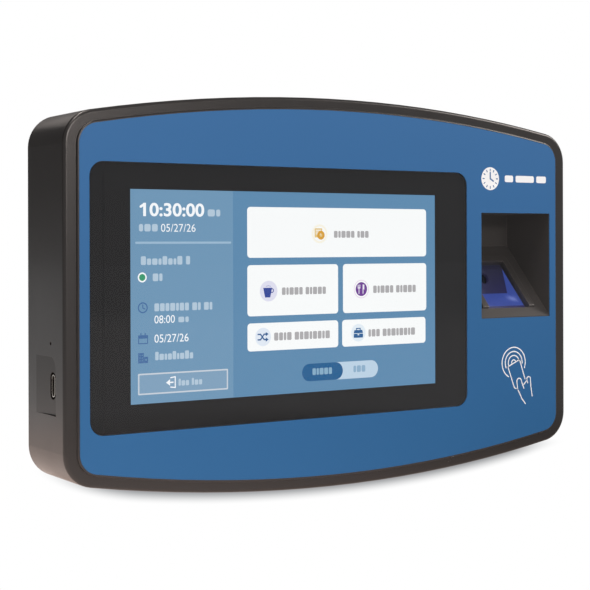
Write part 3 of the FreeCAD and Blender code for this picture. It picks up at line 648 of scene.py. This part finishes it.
def stand_in_words(x0, z0, x1, z1, words, even=True):
    """Plates of a row of blocks that fills a box; words holds the count of each word."""
    blocks, x = [], 0.0
    for count in words:
        for place in range(count):
            wide = BLOCK_WIDTHS[(place + count) % len(BLOCK_WIDTHS)]
            blocks.append((x, wide, 1.0 if even or place in TALL_BLOCKS else LOW_BLOCK))
            x += wide + BLOCK_GAP
        x += WORD_GAP - BLOCK_GAP
    unit = (x1 - x0) / (x - WORD_GAP)
    return [[oblong(x0 + at * unit, z0, x0 + (at + wide) * unit, z0 + (z1 - z0) * tall, 0.2 * unit, 3)]
            for at, wide, tall in blocks]


def screen_words(right, down, wide, tall, words, even=True):
    x, z = on_screen(right, down)
    return stand_in_words(x, z - tall, x + wide, z, words, even)


def between(first, second, amount):
    """Colour part of the way from one to another, as the eye sees it."""
    gamma = 2.2
    return [(a ** (1 / gamma) * (1 - amount) + b ** (1 / gamma) * amount) ** gamma
            for a, b in zip(first, second)]


# ---------------------------------------------------------------- operators

class Step:
    """What every step of the finishing work shares."""
    bl_options = {"REGISTER", "UNDO"}


class TERMINAL_OT_finish_case(Step, bpy.types.Operator):
    """Moulded black plastic on the housing and the back cover"""
    bl_idname = "terminal.finish_case"
    bl_label = "Finish Case"

    def execute(self, context):
        looks = context.scene.terminal_case
        plastic = moulded("case_moulded_black", looks.plastic, looks.plastic_roughness, looks.grain,
                          depth=0.000012, wear_and_sheen=looks.wear_and_sheen_colour, Coat_Weight=0.15, Coat_Roughness=0.1)
        give(plastic, "housing", "back_cover")
        return {"FINISHED"}


class TERMINAL_OT_finish_fascia(Step, bpy.types.Operator):
    """Printed blue sheet, with a clock roundel, plain bars and a card symbol in white"""
    bl_idname = "terminal.finish_fascia"
    bl_label = "Finish Fascia"

    def execute(self, context):
        looks = context.scene.terminal_case
        give(fascia_blue(looks), "fascia_panel")
        white = moulded("fascia_white_print", looks.print_white, 0.5, 0.0002, 0.000004)
        self.roundel(white)
        low, high, radius = 50.4, 53.6, 0.8
        bars = [[oblong(x, low, x + wide, high, radius)]
                for x, wide in ((93.4, 5.2), (100.2, 11.6), (113.4, 6.2))]
        artwork("fascia_bars", bars, -PRINT_THICKNESS, white, PRINT_THICKNESS)
        self.card_symbol(white)
        return {"FINISHED"}

    def roundel(self, white):
        """Clock face in reversed print: a disc with its rim, marks and hands left open."""
        x, z, radius = 84.4, 51.8, 5.4
        marks = [line([(x + r * math.cos(t), z + r * math.sin(t)) for r in (3.7, 4.5)], 0.5)
                 for t in (math.radians(30 * i) for i in range(12))]
        hands = line([(x + 1.9, z - 1.1), (x, z), (x, z + 2.9)], 0.75)
        artwork("fascia_clock_roundel", [[disc(x, z, radius, 64), hands] + marks], -PRINT_THICKNESS,
                white, PRINT_THICKNESS)

    def card_symbol(self, white):
        """Waves over a card held between finger and thumb."""
        width = 0.52
        x, z = 98.7, -35.6
        arcs = ((7.3, 244, -22), (5.3, 206, -6), (3.4, 196, 14), (1.3, 188, 26))
        waves = [line(bow(x, z, radius, start, end, 32), width) for radius, start, end in arcs]
        card = [line([(95.0, -37.4), (102.4, -34.3)], width),
                line([(95.0, -37.4), (98.9, -47.2)] + bow(100.0, -46.9, 1.1, 195, 280, 6), width),
                line([(102.4, -34.3), (105.8, -43.8)], width)]
        thumb = line([(101.2, -48.6), (100.7, -45.2)] + bow(102.1, -44.7, 1.45, 190, 35, 10)
                     + [(104.3, -46.6), (105.1, -48.2)], width)
        wrist = line([(101.2, -48.6), (102.6, -50.8), (103.7, -53.0), (106.0, -55.6)], width)
        finger = line([(105.0, -46.4), (107.2, -44.4)] + bow(108.1, -44.0, 1.2, 160, -10, 8)
                      + [(109.5, -47.4), (110.4, -52.2)], width)
        knuckle = line([(107.2, -44.4), (107.6, -45.8)], width)
        shapes = waves + card + [thumb, wrist, finger, knuckle]
        artwork("fascia_card_symbol", [[shape] for shape in shapes], -PRINT_THICKNESS, white,
                PRINT_THICKNESS)


class TERMINAL_OT_finish_glass(Step, bpy.types.Operator):
    """Cover glass, its printed border, touch film, foam and the panel behind them"""
    bl_idname = "terminal.finish_glass"
    bl_label = "Finish Display Stack"

    def execute(self, context):
        looks = context.scene.terminal_case
        give(clear_glass("cover_glass_clear", (1.0, 1.0, 1.0)), "cover_glass")
        give(clear_glass("touch_film_clear", (0.99, 0.995, 1.0), 0.05, INNER_MIRROR_LOSS),
             "touch_sensor")
        give(moulded("glass_border_print", looks.border_black, 0.6, 0.0003, 0.000001,
                     Specular_IOR_Level=0.0), "glass_border")
        give(moulded("foam_strip", rgb(44, 44, 46), 0.9, 0.0006, 0.00012),
             "glass_tape", "lcd_cushions", "speaker_gasket")
        give(moulded("crystal_panel", rgb(20, 22, 26), 0.25, 0.0002, 0.000002), "lcd_panel")
        give(moulded("light_guide_acrylic", rgb(226, 232, 236), 0.15, 0.001, 0.000004,
                     Transmission_Weight=0.6, IOR=1.49), "light_guide")
        return {"FINISHED"}


class TERMINAL_OT_draw_panes(Step, bpy.types.Operator):
    """The display's two panes, its divider, touch tiles and pill switch"""
    bl_idname = "terminal.draw_panes"
    bl_label = "Draw Panes and Tiles"

    def execute(self, context):
        looks = context.scene.terminal_display
        light = looks.brightness
        artwork("display_side_pane", [[screen_box(0, 0, SIDE_PANE_W, SCREEN_H)]], PANE_AT,
                lit_ink("ink_side_pane", looks.side_pane, light))
        artwork("display_main_pane", [[screen_box(SIDE_PANE_W, 0, SCREEN_W - SIDE_PANE_W, SCREEN_H)]],
                PANE_AT, lit_ink("ink_main_pane", looks.main_pane, light))
        artwork("display_divider", [[screen_box(2.4, 21.3, 44.4, 0.9, 0.4)]], BUTTON_AT,
                lit_ink("ink_divider", looks.divider, light))
        self.tiles(lit_ink("ink_tile", looks.tile, light))
        self.pill(looks, light)
        return {"FINISHED"}

    def tiles(self, white):
        """One wide tile over two rows of two."""
        left, wide, gap = 54.6, 46.3, 2.6
        rows = (("middle", 31.3, 21.6), ("lower", 55.9, 11.8))
        across = 2 * wide + gap
        artwork("display_tile_top", [[screen_box(left, 6.7, across, 21.5, 1.5)]], BUTTON_AT, white)
        for row, down, tall in rows:
            inset = 0.5 if row == "lower" else 0.0
            for side, right in (("left", left), ("right", left + wide + gap - inset)):
                artwork(f"display_tile_{row}_{side}", [[screen_box(right, down, wide, tall, 1.5)]],
                        BUTTON_AT, white)

    def pill(self, looks, light):
        """Two-way switch with its left half chosen."""
        left, top, wide, tall, chosen = 81.9, 74.3, 40.5, 7.6, 21.4
        artwork("display_switch_track", [[screen_box(left, top, wide, tall, tall / 2)]], BUTTON_AT,
                lit_ink("ink_switch_off", looks.switch_off, light))
        artwork("display_switch_chosen", [[screen_box(left, top, chosen, tall, tall / 2)]], LABEL_AT,
                lit_ink("ink_switch_on", looks.switch_on, light))


class TERMINAL_OT_draw_side_pane(Step, bpy.types.Operator):
    """Clock, date, status line, symbols and outlined key of the left pane"""
    bl_idname = "terminal.draw_side_pane"
    bl_label = "Draw Side Pane"

    def execute(self, context):
        looks = context.scene.terminal_display
        text = lit_ink("ink_side_text", looks.side_text, looks.brightness)
        symbol = lit_ink("ink_side_symbol", looks.side_symbol, looks.brightness)
        self.figures(looks, text)
        self.lines(lit_ink("ink_side_words", between(looks.side_pane, looks.side_text, looks.word_tone),
                           looks.brightness))
        self.status_dot(text, lit_ink("ink_status", looks.status, looks.brightness))
        self.symbols(symbol)
        self.key(looks, text)
        return {"FINISHED"}

    def figures(self, looks, text):
        """Clock, date and entry time, each filling its own box."""
        rows = (("clock", looks.clock, 6.0, 5.6, 28.0, 5.5, 0.024),
                ("date", looks.date, 14.0, 14.1, 15.9, 3.2, -0.004),
                ("entry_time", looks.entry, 10.9, 51.2, 9.3, 3.2, 0.0),
                ("entry_date", looks.date, 10.9, 58.9, 15.6, 3.3, 0.0))
        for name, figures, right, down, wide, tall, weight in rows:
            x, z = on_screen(right, down)
            mesh = bmesh.new()
            set_figures(mesh, figures, x, z - tall, x + wide, z, LABEL_AT, weight)
            if name == "clock" and figures.startswith("1"):
                flag = line([(x - 1.1, z - 1.6), (x + 0.5, z - 0.6)], 1.0)
                press(mesh, [flag], LABEL_AT, INK_THICKNESS)
            mount_artwork(f"display_{name}", mesh, text)

    def lines(self, ink):
        """Rows of stand-in words: place, size, count of each word and whether the blocks are even."""
        rows = (("clock_half", 35.6, 8.0, 6.0, 2.9, (2,), True),
                ("weekday", 4.1, 14.2, 8.4, 3.0, (3,), True),
                ("person_line", 4.9, 27.2, 22.4, 3.5, (8, 1), False),
                ("status_line", 10.2, 34.2, 4.4, 3.1, (2,), True),
                ("entry_line", 10.9, 46.3, 26.8, 3.2, (7, 2, 2), True),
                ("entry_half", 21.8, 52.0, 4.8, 2.3, (2,), True),
                ("group_line", 11.2, 65.9, 17.4, 3.4, (9,), False),
                ("key_line", 21.8, 77.3, 11.0, 2.9, (3, 3), False))
        for name, right, down, wide, tall, words, even in rows:
            plates = screen_words(right, down, wide, tall, words, even)
            artwork(f"display_{name}", plates, LABEL_AT, ink)

    def status_dot(self, rim, green):
        x, z = on_screen(5.5, 35.7)
        artwork("display_status_rim", [[disc(x, z, 2.0)]], LABEL_AT, rim)
        artwork("display_status_dot", [[disc(x, z, 1.4)]], SYMBOL_AT, green)

    def symbols(self, ink):
        """Clock, calendar and building."""
        x, z = on_screen(5.7, 47.9)
        hands = [line([(x, z + 1.2), (x, z - 0.1), (x + 0.9, z - 0.5)], 0.42)]
        artwork("display_clock_symbol", [ring(x, z, 2.2, 0.5), hands], LABEL_AT, ink)
        x, z = on_screen(3.6, 58.6)
        pegs = [[oblong(x + at, z - 0.3, x + at + 0.5, z + 0.5)] for at in (1.0, 2.9)]
        page = [oblong(x, z - 3.9, x + 4.4, z - 1.75), oblong(x + 0.4, z - 3.5, x + 4.0, z - 1.76)]
        band = [oblong(x, z - 1.7, x + 4.4, z - 0.35, 0.2)]
        artwork("display_calendar_symbol", pegs + [page, band], LABEL_AT, ink)
        x, z = on_screen(3.6, 66.1)
        windows = [oblong(x + right, z - down - 0.4, x + right + 0.4, z - down)
                   for right in (0.6, 1.6) for down in (0.7, 1.8, 2.9)]
        tower = [oblong(x, z - 4.1, x + 2.5, z)] + windows
        wing = [oblong(x + 2.6, z - 4.1, x + 4.4, z - 1.6), oblong(x + 3.2, z - 3.1, x + 3.8, z - 2.4)]
        artwork("display_building_symbol", [tower, wing], LABEL_AT, ink)

    def key(self, looks, text):
        """Outlined key with an arrow leaving a bracket."""
        fill = [0.93 * c + 0.07 for c in looks.side_pane]
        artwork("display_key_fill", [[screen_box(3.5, 74.4, 41.6, 8.6, 0.3)]], BUTTON_AT,
                lit_ink("ink_key_fill", fill, looks.brightness))
        rim = [screen_box(3.5, 74.4, 41.6, 8.6, 0.4), screen_box(4.1, 75.0, 40.4, 7.4, 0.2)]
        outline = [0.55 + 0.35 * c for c in looks.side_pane]
        artwork("display_key_outline", [rim], LABEL_AT,
                lit_ink("ink_key_outline", outline, looks.brightness))
        x, z = on_screen(18.3, 78.6)
        arrow = [(x - 2.2, z), (x - 0.4, z + 1.3), (x - 0.4, z - 1.3)]
        shaft = oblong(x - 0.5, z - 0.28, x + 1.2, z + 0.28)
        bracket = [(x - 0.1, z + 1.9), (x + 2.0, z + 2.2), (x + 2.0, z - 2.2), (x - 0.1, z - 1.9)]
        artwork("display_key_symbol", [[arrow], [shaft], [line(bracket, 0.45)]], LABEL_AT, text)


class TERMINAL_OT_draw_tile_labels(Step, bpy.types.Operator):
    """Stand-in words and round symbols of the tiles and the switch"""
    bl_idname = "terminal.draw_tile_labels"
    bl_label = "Draw Tile Labels"

    def execute(self, context):
        looks = context.scene.terminal_display
        self.light = looks.brightness
        self.words(looks)
        self.note_symbol(*on_screen(91.2, 18.0))
        self.cup_symbol(*on_screen(65.1, 42.4))
        self.meal_symbol(*on_screen(113.4, 42.5))
        self.swap_symbol(*on_screen(62.3, 61.8))
        self.case_symbol(*on_screen(111.7, 61.8))
        return {"FINISHED"}

    def words(self, looks):
        dark = between(looks.tile, looks.tile_text, looks.word_tone)
        dark = lit_ink("ink_tile_words", dark, self.light)
        rows = (("top", 98.8, 16.7, 18.6, 3.0, (5, 3)),
                ("middle_left", 71.8, 41.0, 22.6, 3.2, (5, 5)),
                ("middle_right", 119.9, 41.1, 23.8, 3.3, (5, 5)),
                ("lower_left", 67.8, 60.2, 28.6, 3.4, (4, 8)),
                ("lower_right", 117.2, 60.5, 26.0, 3.3, (3, 8)))
        for name, right, down, wide, tall, words in rows:
            plates = screen_words(right, down, wide, tall, words)
            artwork(f"display_words_{name}", plates, LABEL_AT, dark)
        on = between(looks.switch_on, looks.side_text, looks.word_tone)
        artwork("display_words_switch_on", screen_words(87.3, 76.4, 10.2, 2.9, (5,)), SYMBOL_AT,
                lit_ink("ink_switch_on_words", on, self.light))
        off = between(looks.switch_off, looks.main_pane, looks.word_tone)
        artwork("display_words_switch_off", screen_words(109.0, 76.3, 6.4, 2.9, (3,)), LABEL_AT,
                lit_ink("ink_switch_off_words", off, self.light))

    def paint(self, name, plates, depth, red, green, blue):
        """One colour of a symbol."""
        ink = lit_ink(f"ink_{name}", rgb(red, green, blue), self.light)
        artwork(f"display_{name}", plates, depth, ink)

    def note_symbol(self, x, z):
        """Time sheet with a clock over its corner."""
        self.paint("note_halo", [ring(x, z, 4.1, 0.9)], LABEL_AT, 252, 246, 228)
        sheet = [oblong(x - 2.6, z - 1.6, x + 1.4, z + 2.4, 0.2)]
        sheet += [oblong(x - 2.0, z + at, x + 0.8, z + at + 0.35) for at in (1.4, 0.6, -0.2)]
        self.paint("note_sheet", [sheet], LABEL_AT, 232, 200, 132)
        self.paint("note_clock", [ring(x + 0.7, z - 0.6, 1.95, 1.25)], SYMBOL_AT, 219, 160, 52)

    def cup_symbol(self, x, z):
        """Cup with a handle and steam."""
        self.paint("cup_disc", [[disc(x, z, 4.4)]], LABEL_AT, 226, 225, 241)
        body = [(x - 2.7, z + 1.4), (x - 1.8, z - 2.7), (x + 0.8, z - 2.7), (x + 1.7, z + 1.4)]
        handle = ring(x + 1.6, z + 0.2, 1.0, 0.4)
        self.paint("cup", [[body], handle], SYMBOL_AT, 44, 66, 150)
        steam = line([(x - 1.3, z + 2.0), (x - 0.2, z + 2.3), (x + 1.0, z + 2.0)], 0.3)
        self.paint("cup_steam", [[steam]], SYMBOL_AT, 160, 164, 208)

    def meal_symbol(self, x, z):
        """Fork and knife on a plate."""
        self.paint("meal_halo", [ring(x, z, 4.1, 0.35)], LABEL_AT, 232, 214, 232)
        self.paint("meal_disc", [[disc(x, z, 3.1)]], LABEL_AT, 110, 58, 146)
        fork = [[oblong(x - 1.5, z - 2.1, x - 1.1, z + 0.4)],
                [oblong(x - 2.0, z + 0.3, x - 0.6, z + 0.8)]]
        fork += [[oblong(x - a, z + 0.8, x - a + 0.3, z + 2.0)] for a in (2.0, 1.45, 0.9)]
        knife = [[oblong(x + 0.7, z - 2.1, x + 1.1, z + 2.1, 0.15)],
                 [oblong(x + 1.1, z - 0.2, x + 1.6, z + 2.0, 0.2)]]
        self.paint("meal_cutlery", fork + knife, SYMBOL_AT, 240, 234, 246)

    def swap_symbol(self, x, z):
        """Two arrows that cross."""
        self.paint("swap_disc", [[disc(x, z, 3.9)]], LABEL_AT, 228, 236, 246)
        plates = []
        for side in (1, -1):
            foot, top = z - 1.15 * side, z + 1.15 * side
            run = [(x - 2.5, foot), (x - 1.3, foot), (x + 0.5, top), (x + 1.5, top)]
            head = [(x + 1.3, top + 0.95), (x + 1.3, top - 0.95), (x + 2.7, top)]
            plates += [[line(run, 0.6)], [head]]
        self.paint("swap_arrows", plates, SYMBOL_AT, 40, 92, 146)

    def case_symbol(self, x, z):
        """Tool case with a handle, a lid line and a catch."""
        self.paint("case_disc", [[disc(x, z, 3.9)]], LABEL_AT, 230, 240, 247)
        lid = [[(x - 2.5, z - 0.2), (x + 2.5, z - 0.2), (x + 2.1, z + 1.2), (x - 2.1, z + 1.2)]]
        tray = [oblong(x - 2.5, z - 2.2, x + 2.5, z - 0.45, 0.2),
                oblong(x - 0.45, z - 1.1, x + 0.45, z - 0.65)]
        grip = [(x - 1.0, z + 1.2), (x - 1.0, z + 1.9), (x + 1.0, z + 1.9), (x + 1.0, z + 1.2)]
        self.paint("case", [lid, tray, [line(grip, 0.45)]], SYMBOL_AT, 20, 90, 146)


class TERMINAL_OT_finish_reader(Step, bpy.types.Operator):
    """Finger well, platen, prism and the lit cradle under it"""
    bl_idname = "terminal.finish_reader"
    bl_label = "Finish Reader"

    def execute(self, context):
        looks = context.scene.terminal_reader
        # The well glows faintly in its own colour: painted light that lifts its shaded walls.
        give(moulded("well_moulded_black", looks.well, 0.38, 0.0003, 0.000008,
                     # Strong edge paling here is a painted highlight along the ramp and lip edges.
                     wear_and_sheen=context.scene.terminal_case.wear_and_sheen_colour, wear_and_sheen_width=0.0008, wear_and_sheen_strength=5.0,
                     Emission_Color=opaque(looks.well), Emission_Strength=0.32), "finger_well")
        give(clear_glass("platen_glass_clear", (0.96, 0.97, 1.0)), "sensor_platen")
        give(clear_glass("prism_glass_clear", (0.97, 0.98, 1.0), 0.04, INNER_MIRROR_LOSS),
             "sensor_prism")
        give(cradle_glow(looks), "sensor_cradle")
        give(moulded("lens_barrel_black", rgb(22, 22, 24), 0.3, 0.0002, 0.000004), "sensor_lens")
        give(moulded("lamp_resin", rgb(206, 212, 232), 0.2, 0.0004, 0.000004,
                     Transmission_Weight=0.7, IOR=1.5), "sensor_leds")
        return {"FINISHED"}


class TERMINAL_OT_finish_port(Step, bpy.types.Operator):
    """Side port, its tongue and the reset button"""
    bl_idname = "terminal.finish_port"
    bl_label = "Finish Side Port"

    def execute(self, context):
        give(metal("port_shell_nickel", rgb(236, 230, 222), 0.22, 0.0001), "usb_port_shell")
        give(moulded("port_tongue_resin", rgb(24, 24, 26), 0.5, 0.0002, 0.000006), "usb_port_tongue")
        give(moulded("reset_button_grey", rgb(96, 98, 100), 0.5, 0.0002, 0.000006), "reset_button")
        return {"FINISHED"}


class TERMINAL_OT_finish_wall_plate(Step, bpy.types.Operator):
    """Zinc plate on the wall and every screw"""
    bl_idname = "terminal.finish_wall_plate"
    bl_label = "Finish Wall Plate and Screws"

    def execute(self, context):
        give(metal("wall_plate_zinc", rgb(176, 180, 184), 0.42, 0.0005, 0.000006), "wall_plate")
        give(metal("screw_steel_zinc", rgb(196, 196, 192), 0.3, 0.0001),
             "case_screws", "bracket_screws", "well_screws", "board_screws", "io_screws")
        return {"FINISHED"}


class TERMINAL_OT_finish_boards(Step, bpy.types.Operator):
    """Boards, chips, jacks, ribbons, speaker and the other inner parts"""
    bl_idname = "terminal.finish_boards"
    bl_label = "Finish Inner Parts"

    def execute(self, context):
        give(board_green(), "main_board", "io_board", "sensor_board", "sensor_led_board",
             "card_antenna_board", "wifi_antenna")
        self.metals()
        self.mouldings()
        return {"FINISHED"}

    def metals(self):
        give(metal("tray_steel_zinc", rgb(188, 190, 190), 0.36, 0.0004),
             "lcd_tray", "lcd_bracket", "radio_module")
        give(metal("brass_turned", rgb(214, 178, 104), 0.25, 0.00012),
             "board_standoffs", "io_standoffs", "power_pin")
        give(metal("aluminium_extruded", rgb(206, 208, 212), 0.34, 0.0003),
             "heat_spreader", "capacitors")
        give(metal("jack_shield_tin", rgb(206, 204, 198), 0.24, 0.0003),
             "network_jack", "backup_battery")
        give(metal("contact_gold", rgb(226, 186, 96), 0.2, 0.0001), "network_contacts")
        give(metal("speaker_steel_black", rgb(86, 88, 92), 0.35, 0.0003),
             "speaker_frame", "speaker_magnet")
        give(metal("coil_copper", rgb(206, 126, 82), 0.28, 0.0001), "card_antenna_coil")

    def mouldings(self):
        give(moulded("chip_epoxy", rgb(30, 31, 33), 0.5, 0.0002, 0.000006),
             "processor", "memory_chips", "ribbon_sockets", "battery_holder", "power_jack",
             "reset_switch")
        give(moulded("cone_paper", rgb(46, 44, 42), 0.85, 0.0005, 0.00006), "speaker_cone")
        give(moulded("lead_jacket", rgb(28, 28, 30), 0.45, 0.0003, 0.000004), "antenna_lead")
        give(moulded("ribbon_film", rgb(226, 224, 216), 0.35, 0.0005, 0.000006),
             "lcd_ribbon", "io_ribbon", "sensor_ribbon")


# Camera: roll, lens and sensor in mm, and shift
CAMERA_ROLL = math.radians(0.16)
LENS, SENSOR = 84.9, 36.0
SHIFT = (-0.0022, -0.0855)

# Lamps: place, width and height, and the point each faces, in metres
LAMPS = {
    "key": ((-0.36, -0.40, 0.96), (0.08, 0.5), (0.0, 0.0, 0.0)),
    "top": ((-0.14, 0.1, 1.0), (0.08, 0.4), (-0.1, 0.0, 0.0)),
    "side": ((1.1, -0.6, 0.7), (0.5, 0.5), (0.1, 0.0, 0.0)),
    "rear": ((0.0, 1.0, 0.65), (0.7, 0.3), (0.0, 0.0, 0.0)),
    "front": ((0.1, -1.5, 0.34), (0.7, 0.2), (0.0, 0.0, 0.0)),
}

SKY_TURN = 0.6  # the surroundings pass from front to rear where a heading's Y is within this

# Floor, in metres; each fade is the range over which something comes or goes
FLOOR_HALF, FLOOR_GAP = 6.0, 0.0002
POOL_AT, POOL_FADE = (-0.2, 0.02, 0.0), (0.08, 0.48)  # warm light beside the terminal's left end
OUTSIDE_POOL = 0.15                                   # share of the floor's own colour outside it
DISTANCE_FADE = (0.2, 0.35)

# Painted soft shadow on the floor: its front edge is a parabola over a place that leans along X
SHADE_TINT = (0.0, 0.012, 0.03)
SHADE_LEAN, SHADE_MIDDLE = -0.64, 0.025
SHADE_FRONT, SHADE_CURVE = -0.055, 3.1
SHADE_LEFT_END, SHADE_END_CURVE = -0.1, 7.5           # past here the edge falls back faster
SHADE_EDGE, SHADE_BEHIND, SHADE_BESIDE = (-0.004, 0.026), (0.01, 0.08), (0.13, 0.18)


class TERMINAL_OT_set_stage(Step, bpy.types.Operator):
    """Pale floor, white surroundings, soft lamps and the camera"""
    bl_idname = "terminal.set_stage"
    bl_label = "Set Stage"

    def execute(self, context):
        scene = context.scene
        looks = scene.terminal_stage
        scene.view_settings.view_transform = "Standard"
        self.camera(scene, looks)
        self.surroundings(scene, looks)
        self.floor(scene, looks)
        for name, (place, size, target) in LAMPS.items():
            self.lamp(scene, f"{name}_lamp", place, size, getattr(looks, f"{name}_power"), target)
        return {"FINISHED"}

    def camera(self, scene, looks):
        camera = bpy.data.objects.new("camera", bpy.data.cameras.new("camera"))
        scene.collection.objects.link(camera)
        ahead = Vector((math.sin(looks.camera_turn), math.cos(looks.camera_turn), 0.0))
        camera.location = -ahead * looks.camera_distance + Vector((0.0, 0.0, looks.camera_height))
        camera.rotation_euler = (math.pi / 2, CAMERA_ROLL, -looks.camera_turn)
        camera.data.lens, camera.data.sensor_width = LENS, SENSOR
        camera.data.shift_x, camera.data.shift_y = SHIFT
        camera.data.clip_start = 0.01
        scene.camera = camera

    def surroundings(self, scene, looks):
        """White where the camera looks past the terminal; elsewhere brighter in front than behind."""
        scene.world = bpy.data.worlds.new("surroundings")
        scene.world.use_nodes = True
        tree = scene.world.node_tree
        seen = put(tree, "ShaderNodeLightPath").outputs["Is Camera Ray"]
        heading = put(tree, "ShaderNodeTexCoord").outputs["Generated"]
        y = put(tree, "ShaderNodeSeparateXYZ", {0: heading}).outputs["Y"]
        level = ramp(tree, y, -SKY_TURN, SKY_TURN, looks.front_sky, looks.rear_sky,
                     interpolation_type="SMOOTHSTEP")
        strength = put(tree, "ShaderNodeMix", {"Factor": seen, "A": level, "B": 1.0}).outputs["Result"]
        tree.links.new(strength, tree.nodes["Background"].inputs["Strength"])
        tree.nodes["Background"].inputs["Color"].default_value = (1.0, 1.0, 1.0, 1.0)

    def floor(self, scene, looks):
        """Wide floor that just touches the terminal's lowest point."""
        z = CAD_BOX[0][2] - FLOOR_GAP
        mesh = bmesh.new()
        corners = ((-1, -1), (1, -1), (1, 1), (-1, 1))
        mesh.faces.new([mesh.verts.new((x * FLOOR_HALF, y * FLOOR_HALF, z)) for x, y in corners])
        data = bpy.data.meshes.new("floor")
        mesh.to_mesh(data)
        mesh.free()
        floor = bpy.data.objects.new("floor", data)
        scene.collection.objects.link(floor)
        data.materials.append(self.floor_white(looks))

    def floor_white(self, looks):
        """White with a painted soft shadow to the eye; to the terminal a warm pool of light and a grey
        distance.
        """
        material, tree, shader = blank("floor_white", Roughness=0.7, Emission_Strength=1.0,
                                       Specular_IOR_Level=0.0)
        place = put(tree, "ShaderNodeTexCoord").outputs["Object"]
        camera_ray = put(tree, "ShaderNodeLightPath").outputs["Is Camera Ray"]
        other_ray = sums(tree, "SUBTRACT", 1.0, camera_ray)
        aside = put(tree, "ShaderNodeVectorMath", {0: place, 1: POOL_AT}, operation="DISTANCE")
        pool = ramp(tree, aside.outputs["Value"], *POOL_FADE, 1.0, 0.0)
        base = effect(tree, "tone_drift", Color=opaque(looks.floor), Size=0.3, Amount=0.02)["Color"]
        dulled = sums(tree, "MULTIPLY", other_ray, sums(tree, "MAXIMUM", pool, OUTSIDE_POOL))
        tree.links.new(brightened(tree, base, dulled), shader.inputs["Base Color"])
        reach = put(tree, "ShaderNodeVectorMath", {0: place}, operation="LENGTH").outputs["Value"]
        distant = ramp(tree, reach, *DISTANCE_FADE, 0.0, looks.front_sky)
        warm = brightened(tree, looks.bounce_tint, sums(tree, "MULTIPLY", pool, looks.floor_bounce))
        warm = put(tree, "ShaderNodeVectorMath", {0: warm, 1: distant}, operation="MAXIMUM").outputs[0]
        shade = self.shade(tree, place, looks.shade)
        white = mixed(tree, shade, opaque((1.0, 1.0, 1.0)), opaque(SHADE_TINT))
        tree.links.new(mixed(tree, camera_ray, warm, white), shader.inputs["Emission Color"])
        return material

    def shade(self, tree, place, depth):
        """Share of painted soft shadow: deepest under the bowed foot, its front edge curving back at the
        ends.
        """
        spot = put(tree, "ShaderNodeSeparateXYZ", {0: place}).outputs
        leaning = sums(tree, "MULTIPLY_ADD", spot["Y"], SHADE_LEAN, spot["X"])
        across = sums(tree, "SUBTRACT", leaning, SHADE_MIDDLE)
        past = sums(tree, "MAXIMUM", sums(tree, "SUBTRACT", SHADE_LEFT_END, across), 0.0)
        front = SHADE_FRONT
        for offset, curve in ((across, SHADE_CURVE), (past, SHADE_END_CURVE)):
            front = sums(tree, "MULTIPLY_ADD", sums(tree, "MULTIPLY", offset, offset), curve, front)
        behind_edge = sums(tree, "SUBTRACT", spot["Y"], front)
        within = ramp(tree, behind_edge, *SHADE_EDGE, 0.0, depth, interpolation_type="SMOOTHSTEP")
        behind = ramp(tree, spot["Y"], *SHADE_BEHIND, 1.0, 0.0)
        beside = ramp(tree, sums(tree, "ABSOLUTE", spot["X"]), *SHADE_BESIDE, 1.0, 0.0)
        return sums(tree, "MULTIPLY", within, sums(tree, "MULTIPLY", behind, beside))

    def lamp(self, scene, name, place, size, power, target):
        """Rectangular soft lamp that faces a point."""
        data = bpy.data.lights.new(name, "AREA")
        data.shape = "RECTANGLE"
        data.size, data.size_y = size
        data.energy = power
        data.color = scene.terminal_stage.lamp_tint
        lamp = bpy.data.objects.new(name, data)
        scene.collection.objects.link(lamp)
        lamp.location = place
        lamp.rotation_euler = (Vector(target) - Vector(place)).to_track_quat("-Z", "Y").to_euler()


STEPS = (TERMINAL_OT_finish_case, TERMINAL_OT_finish_fascia, TERMINAL_OT_finish_glass,
         TERMINAL_OT_draw_panes, TERMINAL_OT_draw_side_pane, TERMINAL_OT_draw_tile_labels,
         TERMINAL_OT_finish_reader, TERMINAL_OT_finish_port, TERMINAL_OT_finish_wall_plate,
         TERMINAL_OT_finish_boards, TERMINAL_OT_set_stage)
SETTINGS = {"terminal_case": CaseLooks, "terminal_display": DisplayLooks,
            "terminal_reader": ReaderLooks, "terminal_stage": StageLooks}


class TERMINAL_PT_finishes(bpy.types.Panel):
    """Lists the steps and their settings"""
    bl_idname = "TERMINAL_PT_finishes"
    bl_label = "Terminal Finishes"
    bl_space_type = "VIEW_3D"
    bl_region_type = "UI"
    bl_category = "Terminal"

    def draw(self, context):
        for step in STEPS:
            self.layout.operator(step.bl_idname)
        for name, kind in SETTINGS.items():
            box = self.layout.box()
            for key in kind.__annotations__:
                box.prop(getattr(context.scene, name), key)


def register():
    for kind in (*SETTINGS.values(), *STEPS, TERMINAL_PT_finishes):
        bpy.utils.register_class(kind)
    for name, kind in SETTINGS.items():
        setattr(bpy.types.Scene, name, PointerProperty(type=kind))


def unregister():
    for name in SETTINGS:
        delattr(bpy.types.Scene, name)
    for kind in reversed((*SETTINGS.values(), *STEPS, TERMINAL_PT_finishes)):
        bpy.utils.unregister_class(kind)


def main():
    register()
    for step in STEPS:
        getattr(bpy.ops.terminal, step.bl_idname.split(".")[1])()


if __name__ == "__main__":
    main()
